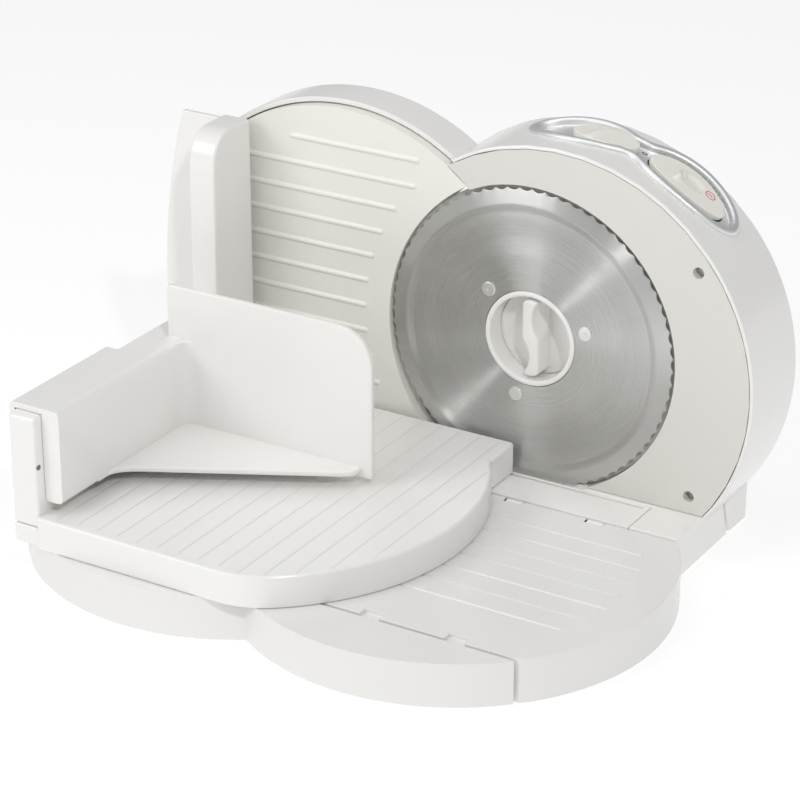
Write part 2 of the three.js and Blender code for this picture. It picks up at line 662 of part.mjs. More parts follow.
const rivetHoles = rivetSpots.map(([x, z]) => rodY(x, z, RIVET_R + SEAT, -LONG, LONG));
piece('blade', cut(
  common(turned(BLADE_X, BLADE_Z, bladeFace), upright(outline(edge), -WALL, WALL)),
  bladeDisc(HUB_R + SEAT, -LONG, LONG),
  ...rivetHoles), STEEL);
const flangeFront = CENTRE_IN + BLADE_T + SEAT;
const flangeBack = flangeFront + FLANGE_T;
const hubFront = CENTRE_IN - HUB_OUT;
const hubBack = HUB_FLOOR + HUB_WALL;
piece('blade_hub', cut(
  join(
    bladeDisc(HUB_R, hubFront, hubBack),
    bladeDisc(FLANGE_R, flangeFront, flangeBack),
    bladeDisc(SLEEVE_R, hubBack - BITE, FRAME_Y - BITE)),
  bladeDisc(HUB_R - HUB_WALL, -LONG, HUB_FLOOR),
  bladeDisc(LOCK_STEM_R + RUN, 0, hubBack + HUB_WALL),
  bladeDisc(SPINDLE_R + RUN, 0, LONG),
  ...rivetHoles), WHITE);
const rivetFront = CENTRE_IN - SEAT - RIVET_HEAD_T;
const rivetBack = flangeBack + SEAT + RIVET_HEAD_T;
pieces('blade_rivet', rivetSpots.map(([x, z]) => join(
  rodY(x, z, RIVET_R, rivetFront, rivetBack),
  rodY(x, z, RIVET_HEAD_R, rivetFront, CENTRE_IN - SEAT),
  rodY(x, z, RIVET_HEAD_R, flangeBack + SEAT, rivetBack))), STEEL);
const gearEdge = range(GEAR_TEETH).flatMap((i) => {
  const middle = 2 * Math.PI * (i + 0.5) / GEAR_TEETH;
  const root = GEAR_R - DEDENDUM;
  const tip = GEAR_R + ADDENDUM;
  const flank = (r, half) => [
    BLADE_X + r * Math.cos(middle + half / r), BLADE_Z + r * Math.sin(middle + half / r)];
  return [
    flank(root, -TOOTH_ROOT / 2), flank(tip, -TOOTH_TIP / 2), flank(tip, TOOTH_TIP / 2),
    flank(root, TOOTH_ROOT / 2)];
});
piece('blade_gear', cut(
  upright(outline(gearEdge), DRIVE_Y - GEAR_WIDTH / 2, DRIVE_Y + GEAR_WIDTH / 2),
  bladeDisc(SLEEVE_R + SEAT, 0, LONG)), GREY);
const lockBack = HUB_FLOOR - SEAT;
const lockR = HUB_R - HUB_WALL - RUN;
const gripFront = hubFront + GRIP_SINK;
const scoops = [-1, 1].map((side) => {
  const ball = new THREE.SphereGeometry(SCOOP_R, 3 * CURVE_STEPS, 2 * CURVE_STEPS);
  return solid(
    ball.translate(BLADE_X + side * SCOOP_OUT, gripFront + SCOOP_SINK, BLADE_Z + side * SCOOP_UP));
});
const grip = cut(
  box(
    BLADE_X - GRIP_T / 2, BLADE_X + GRIP_T / 2, gripFront, lockBack - BITE,
    BLADE_Z - GRIP_HALF, BLADE_Z + GRIP_HALF),
  ...scoops);
piece('blade_lock', join(
  turned(BLADE_X, BLADE_Z, [
    [0, lockBack - LOCK_T], [lockR - LOCK_T, lockBack - LOCK_T], [lockR, lockBack - 2 * LOCK_T],
    [lockR, lockBack], [0, lockBack]]),
  common(grip, bladeDisc(lockR, -LONG, LONG)),
  bladeDisc(LOCK_STEM_R, lockBack - BITE, hubBack + BITE)), WHITE);
piece('spindle', bladeDisc(SPINDLE_R, hubBack + HUB_WALL, FRAME_Y + 2 * FRAME_T), STEEL);

// Guard cup with rod sleeves and the dial turret
const gaugeExit = (grow) => rodY(GAUGE_EXIT_X, GAUGE_EXIT_Z, GAUGE_EXIT_R + grow, -LONG, LONG);
const rodZs = [DISC_Z - ROD_RISE, DISC_Z + ROD_RISE];
const followerX = DIAL_X + FOLLOWER_DX;
const cupInner = CUP_BACK - WALL;
const sleeveFront = GAUGE_BACK + GAUGE_TRAVEL + RUN;
const dialDisc = (r, y0, y1) => rodY(DIAL_X, DISC_Z, r, y0, y1);
const cup = cut(
  common(leftDisc(CUP_R, CUP_FRONT, CUP_BACK), above(FOOT_TOP + SEAT)),
  leftDisc(CUP_R - WALL, 0, cupInner),
  gaugeExit(0),
  box(CUP_END, LONG, -LONG, LONG, -LONG, LONG));
const turret = cut(
  dialDisc(TURRET_R + GAUGE_T, CUP_BACK - BITE, TURRET_BACK), dialDisc(TURRET_R, CUP_BACK, LONG));
piece('guard_cup', cut(
  join(
    cup, turret, dialDisc(STUD_R, CUP_BACK - BITE, TURRET_BACK - 2 * STUD_R),
    ...rodZs.map((z) => rodY(-DISC_X, z, ROD_R + SLEEVE_WALL, sleeveFront, TURRET_BACK - 2 * STUD_R))),
  ...rodZs.map((z) => rodY(-DISC_X, z, ROD_R + RUN, 0, LONG)),
  rodY(followerX, DISC_Z, FOLLOWER_R + RUN, 0, CUP_BACK + BITE)), WHITE);

// Ribbed gauge plate on its rods
const gaugeArea = (inset, y0, y1) => common(
  cut(leftDisc(DISC_R - inset, y0, y1), gaugeExit(inset)), above(GAUGE_LOW + inset));
const ribs = range(RIBS).map((i) =>
  rodX(RIB_R - RIB_OUT, RIB_LOW + i * RIB_PITCH, RIB_R, -LONG, LONG));
const socketBack = GAUGE_BACK - SEAT;
const sockets = [...rodZs.map((z) => [-DISC_X, z, ROD_R]), [followerX, DISC_Z, FOLLOWER_R]];
piece('gauge_plate', cut(
  join(
    cut(gaugeArea(0, 0, GAUGE_BACK), gaugeArea(GAUGE_T, GAUGE_T, LONG)),
    common(join(...ribs), gaugeArea(RIB_INSET, -LONG, GAUGE_T - SEAT)),
    ...sockets.map(([x, z, r]) => rodY(x, z, r + WALL, GAUGE_T - BITE, socketBack))),
  ...sockets.map(([x, z, r]) => rodY(x, z, r + SEAT, GAUGE_T, LONG))), CREAM);
const rodFront = GAUGE_T + SEAT;
pieces('gauge_rod', rodZs.map((z) => rodY(-DISC_X, z, ROD_R, rodFront, ROD_BACK)), STEEL);
piece('cam_follower', join(
  rodY(followerX, DISC_Z, FOLLOWER_R, rodFront, PIN_Y + 2 * PIN_R),
  rodX(PIN_Y, DISC_Z, PIN_R, DIAL_X + DRUM_R - GROOVE_DEEP + RUN, followerX)), STEEL);

// Thickness dial: wavy knob on a barrel cam
const wave = range(KNOB_WAVES * 2).map((i) => {
  const r = KNOB_R - KNOB_WAVE * (i % 2);
  const angle = Math.PI * i / KNOB_WAVES;
  return [DIAL_X + r * Math.cos(angle), DISC_Z + r * Math.sin(angle)];
});
const camGroove = helixBand({
  inner: DRUM_R - GROOVE_DEEP,
  outer: DRUM_R + BITE,
  root: 2 * (PIN_R + RUN),
  tip: 2 * (PIN_R + RUN),
  start: PIN_Y,
  lead: GAUGE_TRAVEL * 360 / DIAL_TURN,
  from: radians(-DIAL_SPARE),
  to: radians(DIAL_TURN + DIAL_SPARE),
});
const knobFront = TURRET_BACK + SEAT;
const knobBack = FOOT_BACK - BITE;
piece('thickness_dial', cut(
  join(
    upright(outline(wave), knobFront, knobBack), dialDisc(DRUM_R, CUP_BACK + SEAT, knobFront + BITE)),
  solid(camGroove.translate(DIAL_X, 0, DISC_Z)),
  dialDisc(STUD_R + RUN, 0, TURRET_BACK - STUD_R),
  box(DIAL_X - BITE, DIAL_X + BITE, knobBack - BITE, LONG, DISC_Z + KNOB_R / 2, LONG)), WHITE);

// Switch panel, its two buttons and the switches below
const floorR = SHELL_R - PANEL_FLOOR;
const crestR = SHELL_R + PANEL_RISE;
const underR = SHELL_R - PANEL_DEEP;
const slider = (grow) => rimPrism(
  oval(0, SLIDER_LONG + grow, SLIDER_WIDE + grow), sliderAngle, rimLow, rimHigh);
const button = (grow) => rimPrism(
  oval(0, BUTTON_LONG + grow, BUTTON_WIDE + grow), buttonAngle, rimLow, rimHigh);
const tube = (r0, r1) => cut(rightDisc(r1, 0, SHELL_BACK), rightDisc(r0, -LONG, LONG));
const stem = (left, grow, r0, r1) => rimBox(
  -STEM_HALF - left - grow, STEM_HALF + grow, PANEL_Y - STEM_HALF - grow, PANEL_Y + STEM_HALF + grow,
  sliderAngle, r0, r1);
piece('switch_bezel', cut(
  join(
    common(panel(0), tube(SHELL_R + SEAT, crestR)),
    common(panel(PANEL_LIP + SEAT), tube(underR, crestR))),
  common(panel(PANEL_RING), tube(floorR, crestR + BITE)),
  button(RUN),
  stem(SLIDER_TRAVEL, RUN, rimLow, rimHigh)), SILVER);
piece('safety_slider', join(
  common(slider(0), tube(floorR + SEAT, SHELL_R + SLIDER_OUT)),
  common(stem(0, 0, SHELL_R - STEM_DEEP, SHELL_R), rightDisc(SHELL_R, 0, SHELL_BACK))), WHITE);
const nub = rimPrism(oval(0, NUB_LONG, NUB_WIDE), buttonAngle, rimLow, SHELL_R + NUB_OUT);
piece('power_button', join(
  common(button(0), tube(SHELL_R - STEM_DEEP, SHELL_R + BUTTON_OUT)),
  cut(nub, rightDisc(SHELL_R - BITE, -LONG, LONG))), WHITE);
function switchBody(angle, drop, clear) {
  const top = SHELL_R - STEM_DEEP - drop;
  const low = PANEL_Y - SWITCH_WIDE;
  const high = PANEL_Y + SWITCH_WIDE;
  const reach = clear + RUN + EAR;
  const ears = [-reach, reach - EAR].map((u) =>
    rimBox(u, u + EAR, low, high, angle, top - 2 * EAR, SHELL_R));
  return common(
    join(
      rimBox(-SWITCH_HALF, SWITCH_HALF, low, high, angle, top - SWITCH_TALL, top),
      rimBox(-reach, reach, low, high, angle, top - 2 * EAR, top - EAR), ...ears),
    rightDisc(underR - SEAT, 0, LONG));
}
piece('safety_switch', switchBody(sliderAngle, BITE, STEM_HALF + SLIDER_TRAVEL), GREY);
piece('power_switch', switchBody(buttonAngle, BUTTON_TRAVEL + 2 * RUN, BUTTON_LONG), GREY);

// Folding base: grooved tray and smooth front, tied together underneath
const baseArea = (inset, y0, y1, z0, z1) => common(
  join(...[-DISC_X, DISC_X].map((x) => rodZ(x, LOBE_Y, DISC_R - inset, z0, z1))),
  box(-LONG, LONG, y0, y1, -LONG, LONG));
const trayFront = SPLIT_Y + SPLIT_WIDTH / 2;
const frontBack = SPLIT_Y - SPLIT_WIDTH / 2;
const skinLow = FOOT_TOP - WALL;
const tieXs = [-DISC_X, DISC_X].flatMap((x) => [x - TIE_DX, x + TIE_DX]);
const tieBar = (x, grow) => box(x - TIE_HALF - grow, x + TIE_HALF + grow,
  SPLIT_Y - TIE_REACH - grow, SPLIT_Y + TIE_REACH + grow, TIE_LOW - grow, TIE_LOW + TIE_T + grow);
const trayPadX = DISC_X + DISC_R - PAD_R - 2 * WALL;
const frontPadY = CAR_FRONT + PAD_R;
const padBosses = (x, y) => rodPairs(x, [y], PAD_R - BITE, PAD_T + SEAT, FOOT_TOP - BITE);
const trayGrooves = range(TRAY_GROOVES).map((i) => {
  const y = LOBE_Y + (i - (TRAY_GROOVES - 1) / 2) * TRAY_PITCH;
  return box(-LONG, LONG, y - GROOVE_WIDE / 2, y + GROOVE_WIDE / 2, 0, LONG);
});
const notches = knuckleXs.flatMap((x) => {
  const half = NOTCH_WIDE / 2;
  return [
    box(x - half, x + half, TRAY_BACK - NOTCH_DEEP, LONG, -LONG, LONG),
    box(x - half, x + half, -LONG, trayFront + NOTCH_DEEP, FOOT_TOP - NOTCH_SINK, LONG)];
});
const trayShell = cut(
  baseArea(0, trayFront, TRAY_BACK, LIFT, FOOT_TOP),
  baseArea(WALL, trayFront + WALL, TRAY_BACK - WALL, -LONG, skinLow),
  box(-LONG, LONG, HINGE_Y, LONG, HINGE_Z, LONG));
const roll = common(
  rodX(HINGE_Y, HINGE_Z, HINGE_ROLL, -LONG, LONG), baseArea(0, -LONG, LONG, LIFT, FOOT_TOP));
piece('base_tray', cut(
  join(trayShell, roll, ...padBosses(trayPadX, LOBE_Y)),
  ...notches,
  common(join(...trayGrooves), baseArea(TRAY_MARGIN, -LONG, LONG, FOOT_TOP - GROOVE_SINK, LONG)),
  ...knuckleXs.map((x) => hingePin(x, RUN)),
  ...tieXs.map((x) => tieBar(x, SEAT))), WHITE);
piece('base_front', cut(
  join(
    cut(
      baseArea(0, -LONG, frontBack, LIFT, FOOT_TOP),
      baseArea(WALL, -LONG, frontBack - WALL, -LONG, skinLow)),
    ...padBosses(DISC_X, frontPadY)),
  ...tieXs.map((x) => tieBar(x, SEAT))), WHITE);
const tieStep = TIE_REACH - TIE_POST_R - BITE;
const tiePost = (x, side) =>
  rodZ(x, SPLIT_Y + side * tieStep, TIE_POST_R, TIE_LOW + BITE, skinLow - SEAT);
pieces('base_tie', tieXs.map((x) => join(tieBar(x, 0), tiePost(x, -1), tiePost(x, 1))), GREY);
pieces('base_pad', [
  ...rodPairs(trayPadX, [LOBE_Y], PAD_R, 0, PAD_T),
  ...rodPairs(DISC_X, [frontPadY], PAD_R, 0, PAD_T)], RUBBER);
pieces('body_pad', rodPairs(footPadXs, footPadYs, PAD_R, 0, PAD_T), RUBBER);
pieces('hinge_pin', knuckleXs.map((x) => hingePin(x, 0)), STEEL);

// Rail strip with the groove that guides the carriage
const guideHalf = GUIDE_T / 2;
const guideLow = FOOT_TOP - GUIDE_DEEP;
piece('rail_strip', cut(
  box(-RAIL_HALF, RAIL_HALF, FOOT_FRONT, RAIL_BACK, RAIL_FLOOR + SEAT, FOOT_TOP),
  box(-RAIL_HALF + WALL, RAIL_HALF - WALL, GUIDE_Y - guideHalf - RUN, GUIDE_Y + guideHalf + RUN,
    guideLow - RUN, LONG)), WHITE);

// Carriage plate outline, drawn in by an inset
function carriageShape(inset) {
  const roundY = CAR_FRONT + CAR_ROUND;
  const roundX = CAR_ARC_X + Math.sqrt((CAR_ARC_R - CAR_ROUND) ** 2 - (roundY - CAR_ARC_Y) ** 2);
  const turn = Math.atan2(roundY - CAR_ARC_Y, roundX - CAR_ARC_X);
  const right = CAR_RIGHT - inset;
  const r = CAR_ARC_R - inset;
  const shape = new THREE.Shape();
  shape.moveTo(WALL_RIGHT + inset, CAR_BACK - inset);
  shape.lineTo(WALL_RIGHT + inset, CAR_FRONT + inset);
  shape.absarc(roundX, roundY, CAR_ROUND - inset, -Math.PI / 2, turn);
  shape.absarc(CAR_ARC_X, CAR_ARC_Y, r, turn, Math.acos((right - CAR_ARC_X) / r));
  shape.lineTo(right, CAR_BACK - inset);
  return shape;
}
const carLow = FOOT_TOP + RUN;
const carGrooveCount = Math.floor((CAR_ARC_X + CAR_ARC_R - WALL_RIGHT) / CAR_PITCH);
const carGrooves = range(carGrooveCount).map((i) => {
  const x = WALL_RIGHT + (i + 1) * CAR_PITCH;
  return box(x - GROOVE_WIDE / 2, x + GROOVE_WIDE / 2, -LONG, LONG, 0, LONG);
});
piece('carriage_plate', cut(
  join(
    cut(level(carriageShape(0), carLow, CAR_TOP), level(carriageShape(WALL), 0, CAR_TOP - WALL)),
    box(WALL_LEFT, WALL_RIGHT + BITE, WALL_FRONT, WALL_BACK, carLow, LEDGE_TOP),
    box(GUIDE_X, GUIDE_X + GUIDE_LONG, GUIDE_Y - guideHalf, GUIDE_Y + guideHalf, guideLow, carLow + BITE),
    box(GUIDE_X, GUIDE_X + GUIDE_LONG, SPLIT_Y - guideHalf, SPLIT_Y + guideHalf, guideLow, CAR_TOP - BITE)),
  common(join(...carGrooves), level(carriageShape(CAR_MARGIN), CAR_TOP - GROOVE_SINK, LONG))), WHITE);

// Carriage wall with the hand guard and its curved fence
function wallShape(inset) {
  const front = GUARD_FRONT + inset;
  const round = GUARD_ROUND - inset;
  const shape = new THREE.Shape();
  shape.moveTo(WALL_BACK - inset, LEDGE_TOP + SEAT);
  shape.lineTo(WALL_BACK - inset, GUARD_TOP - inset);
  shape.absarc(front + round, GUARD_TOP - inset - round, round, Math.PI / 2, Math.PI);
  shape.lineTo(front, WALL_TOP - inset);
  shape.lineTo(WALL_FRONT + inset, WALL_TOP - inset);
  shape.lineTo(WALL_FRONT + inset, LEDGE_TOP + SEAT);
  return shape;
}
const fence = common(
  box(-LONG, WALL_RIGHT, WALL_BACK - WALL, WALL_BACK, LEDGE_TOP + SEAT, FENCE_TOP),
  rodY(FENCE_LEFT + FENCE_CURVE, DISC_Z, FENCE_CURVE, -LONG, LONG));
piece('carriage_wall', join(
  cut(
    sideways(wallShape(0), WALL_LEFT, WALL_RIGHT),
    sideways(wallShape(WALL), WALL_LEFT + WALL, WALL_RIGHT - WALL)), fence), WHITE);

// Food pusher: saddle over the wall, hand box, web and spiked face
const pushLeft = WALL_LEFT - SEAT - PUSH_SKIN;
const boxLeft = WALL_RIGHT + SEAT;
const boxRight = boxLeft + PUSH_BOX;
const saddleLow = WALL_TOP + SEAT;
const saddleTop = saddleLow + PUSH_SKIN;
const faceFront = PUSH_Y - PUSH_T;
function faceShape() {
  const shape = new THREE.Shape();
  shape.moveTo(boxLeft, PUSH_LOW);
  shape.lineTo(PUSH_RIGHT, PUSH_LOW);
  shape.absarc(PUSH_RIGHT - PUSH_ROUND, PUSH_TOP - PUSH_ROUND, PUSH_ROUND, 0, Math.PI / 2);
  shape.lineTo(boxLeft, PUSH_TOP);
  return shape;
}
const web = outline([
  [boxLeft + BITE, PUSH_WEB_FRONT], [boxRight, PUSH_WEB_FRONT], [PUSH_WEB_RIGHT, PUSH_WEB_BACK],
  [PUSH_WEB_RIGHT, faceFront + BITE], [boxLeft + BITE, faceFront + BITE]]);
const fillet = cut(
  box(
    boxRight - BITE, boxRight + PUSH_FILLET, faceFront - PUSH_FILLET, faceFront + BITE,
    PUSH_FLOOR, saddleTop),
  rodZ(boxRight + PUSH_FILLET, faceFront - PUSH_FILLET, PUSH_FILLET, 0, LONG));
const spikes = range(SPIKE_ROWS * SPIKE_COLUMNS).map((i) => {
  const x = boxRight + SPIKE_PITCH * (i % SPIKE_COLUMNS + 1);
  const z = PUSH_LOW + SPIKE_PITCH * (Math.floor(i / SPIKE_COLUMNS) + 1);
  const cone = new THREE.CylinderGeometry(0, SPIKE_R, SPIKE_LONG + BITE, 6);
  return solid(cone.translate(x, PUSH_Y + (SPIKE_LONG - BITE) / 2, z));
});
piece('pusher', join(
  box(pushLeft, boxRight, PUSH_FRONT, PUSH_SADDLE_BACK, saddleLow, saddleTop),
  box(pushLeft, pushLeft + PUSH_SKIN, PUSH_FRONT, PUSH_SADDLE_BACK, PUSH_FLAP, saddleTop),
  box(boxLeft, boxRight, PUSH_FRONT, faceFront + BITE, PUSH_FLOOR, saddleTop),
  upright(faceShape(), faceFront, PUSH_Y),
  level(web, PUSH_FLOOR, PUSH_FLOOR + WALL),
  fillet,
  ...spikes), WHITE);

export default group;
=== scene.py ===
"""Studio scene of a folding food slicer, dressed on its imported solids.

Lengths in the classes are millimetres measured from the middle of the blade plane on the floor:
x runs along the blade face, y back into the body, z up. at() turns them into the shared frame.
"""

from __future__ import annotations

import logging
import math
from dataclasses import dataclass
from enum import Enum
from itertools import zip_longest
from typing import Callable, Iterable, Mapping, Sequence

import bmesh
import bpy
from bmesh.types import BMEdge, BMFace, BMVert
from bpy.types import ID, Material, Node, NodeSocket, NodeTree, Object
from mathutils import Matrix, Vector


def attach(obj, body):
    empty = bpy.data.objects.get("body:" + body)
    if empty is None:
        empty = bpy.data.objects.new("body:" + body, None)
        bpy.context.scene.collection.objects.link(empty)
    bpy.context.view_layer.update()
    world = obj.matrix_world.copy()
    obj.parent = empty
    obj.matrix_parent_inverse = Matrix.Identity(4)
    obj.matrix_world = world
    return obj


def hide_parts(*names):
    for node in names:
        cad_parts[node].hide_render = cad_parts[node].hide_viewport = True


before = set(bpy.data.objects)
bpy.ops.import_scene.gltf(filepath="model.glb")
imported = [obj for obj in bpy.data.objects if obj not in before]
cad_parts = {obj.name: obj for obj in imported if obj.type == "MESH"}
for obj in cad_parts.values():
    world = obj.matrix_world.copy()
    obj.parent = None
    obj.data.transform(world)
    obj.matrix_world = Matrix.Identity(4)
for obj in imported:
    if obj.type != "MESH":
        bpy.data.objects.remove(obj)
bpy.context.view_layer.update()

LOG = logging.getLogger("food_slicer")
MM = 0.001
SHIFT = Vector((1.35, 75.25, 0.0))
CREASE = math.radians(30)
# Millimetres: welded points, a point that counts as on a wall, and one that counts as beside it.
WELD, NEAR, ASIDE = 0.001, 0.05, 0.1
# A rounded corner takes at most this share of a side, and on a CAD node only edges that are
# longer than this many widths are rounded.
SIDE_SHARE, LEAST_EDGE = 0.49, 2.2
# The part of its range that a noise texture mostly stays in.
NOISE_RANGE = (0.3, 0.7)
BLADE_UV = "around"

Outline = list[tuple[float, float]]
Pairs = tuple[tuple[float, float], ...]
Spot = tuple[float, float, float]
Test = Callable[[Vector], bool]


class Slot(Enum):
    """Material slots of the record."""

    WHITE = "white_plastic"
    CREAM = "cream_plastic"
    SILVER = "silver_plating"
    BLADE = "blade_steel"
    STEEL = "plain_steel"
    GREY = "grey_plastic"
    RUBBER = "pad_rubber"


class Lie(Enum):
    """How an outline lies: the axes of its two numbers, then the axis that it is raised along."""

    LEVEL = (0, 1, 2)
    UPRIGHT = (0, 2, 1)
    SIDEWAYS = (1, 2, 0)

    def place(self, u: float, v: float, height: float) -> Vector:
        """Place a point of an outline in the shared frame.

        Args:
            u: First number of the outline.
            v: Second number of the outline.
            height: Millimetres along the axis that the outline is raised along.

        Returns:
            The point in metres.
        """
        spot = [0.0, 0.0, 0.0]
        for axis, value in zip(self.value, (u, v, height)):
            spot[axis] = value
        return at(*spot)

    def rise(self, low: float, high: float) -> Vector:
        """Way from one height to another in the shared frame."""
        return self.place(0.0, 0.0, high) - self.place(0.0, 0.0, low)


@dataclass(frozen=True)
class Layout:
    """Places that several sub-assemblies share.

    The exit is the round way out for slices: its centre and its radius. Seat is the play between
    pieces, and bite is how far joined shapes of one piece reach into each other.
    """

    disc_x: float = 64.5
    disc_z: float = 95.0
    disc_r: float = 116.5
    shell_r: float = 118.3
    blade_x: float = 51.5
    blade_z: float = 103.2
    exit: Spot = (62.1, 99.2, 96.9)
    foot_top: float = 25.0
    lobe_y: float = -100.0
    seat: float = 0.3
    bite: float = 1.0


PLAN = Layout()


def at(x: float, y: float, z: float) -> Vector:
    """Point of the object, given in millimetres, in the shared frame."""
    return (Vector((x, y, z)) + SHIFT) * MM


def measured(point: Vector) -> Vector:
    """Millimetres of the object of a point in the shared frame."""
    return point / MM - SHIFT


def linear(colour: str) -> tuple[float, float, float, float]:
    """Turn an sRGB hex colour into linear light.

    Args:
        colour: Six hex digits with a leading #.

    Returns:
        Linear red, green, blue and an alpha of one.
    """
    parts = [int(colour[i : i + 2], 16) / 255 for i in (1, 3, 5)]
    light = [p / 12.92 if p <= 0.04045 else ((p + 0.055) / 1.055) ** 2.4 for p in parts]
    return (light[0], light[1], light[2], 1.0)


def per_metre(size_mm: float) -> float:
    """Texture scale that gives a pattern about this wide on Object coordinates."""
    return 1.0 / (size_mm * MM)


def turns(count: int) -> list[float]:
    """Even angles round a loop, half a step off its axis so that its two halves pair up."""
    return [math.tau * (i + 0.5) / count for i in range(count)]


def half_chord(r: float, away: float) -> float:
    """Half the chord of a circle at a distance from its centre."""
    return math.sqrt(r**2 - away**2)


def stairs(*levels: float) -> Outline:
    """Corners of an outline: the first one, then the level that each side runs to, in turn."""
    pairs = enumerate(zip(levels, levels[1:]))
    return [pair[::-1] if i % 2 else pair for i, pair in pairs]


def bearing(centre: tuple[float, float], spot: tuple[float, float]) -> float:
    """Angle in degrees from a centre to a spot."""
    return math.degrees(math.atan2(spot[1] - centre[1], spot[0] - centre[0]))


def arc(cx: float, cy: float, r: float, start: float, end: float, step: float = 3.0) -> Outline:
    """Points along a round stretch of an outline, both ends included.

    Args:
        cx: Centre, first number.
        cy: Centre, second number.
        r: Radius.
        start: First angle in degrees.
        end: Last angle in degrees.
        step: Degrees between points, at most.

    Returns:
        The points.
    """
    count = max(2, math.ceil(abs(end - start) / step))
    angles = [math.radians(start + (end - start) * i / count) for i in range(count + 1)]
    return [(cx + r * math.cos(angle), cy + r * math.sin(angle)) for angle in angles]


def eased(points: Sequence[tuple[float, float]], radii: Sequence[float], steps: int = 5) -> Outline:
    """Round the corners of a closed outline.

    Args:
        points: Corners in order.
        radii: Length of the rounding at each corner; zero, or none given, keeps it sharp.
        steps: Segments of each rounding.

    Returns:
        The rounded outline.
    """
    path: Outline = []
    for i, (corner, radius) in enumerate(zip_longest(points, radii, fillvalue=0.0)):
        here = Vector(corner)
        if radius == 0:
            path.append(corner)
            continue
        ways = [Vector(points[(i + k) % len(points)]) - here for k in (-1, 1)]
        first, last = (
            here + way.normalized() * min(radius, way.length * SIDE_SHARE) for way in ways
        )
        for k in range(steps + 1):
            t = k / steps
            spot = first * (1 - t) ** 2 + here * 2 * t * (1 - t) + last * t**2
            path.append((spot.x, spot.y))
    return path


def crossing(a: Spot, b: Spot) -> tuple[float, float]:
    """Upper crossing of two circles.

    Args:
        a: Centre and radius of the first circle.
        b: Centre and radius of the second circle.

    Returns:
        The crossing that lies higher in the second number.
    """
    way = Vector((b[0] - a[0], b[1] - a[1]))
    along = (way.length_squared + a[2] ** 2 - b[2] ** 2) / (2 * way.length)
    ahead = way.normalized()
    aside = Vector((-ahead.y, ahead.x)) * half_chord(a[2], along)
    spots = [Vector(a[:2]) + ahead * along + aside * side for side in (-1, 1)]
    best = max(spots, key=lambda spot: spot.y)
    return (best.x, best.y)


def smooth_step(value: float, start: float, end: float) -> float:
    """Rise from zero at the start to one at the end, level at both."""
    share = min(max((value - start) / (end - start), 0.0), 1.0)
    return share * share * (3.0 - 2.0 * share)


def middle_of(edge: BMEdge) -> Vector:
    """Middle of an edge in the shared frame."""
    return (edge.verts[0].co + edge.verts[1].co) / 2


@dataclass(frozen=True)
class Groove:
    """Shallow groove in a level face: the axis it runs along, its place on the other, its ends."""

    axis: int
    place: float
    start: float
    end: float
    width: float
    depth: float


@dataclass(frozen=True)
class Round:
    """Round wall of a CAD node whose facets are split and pushed out to the true circle.

    Facets between the two angles of the gap, in degrees, stay as they are.
    """

    lie: Lie
    u: float
    v: float
    r: float
    gap: tuple[float, float] = (0.0, 0.0)


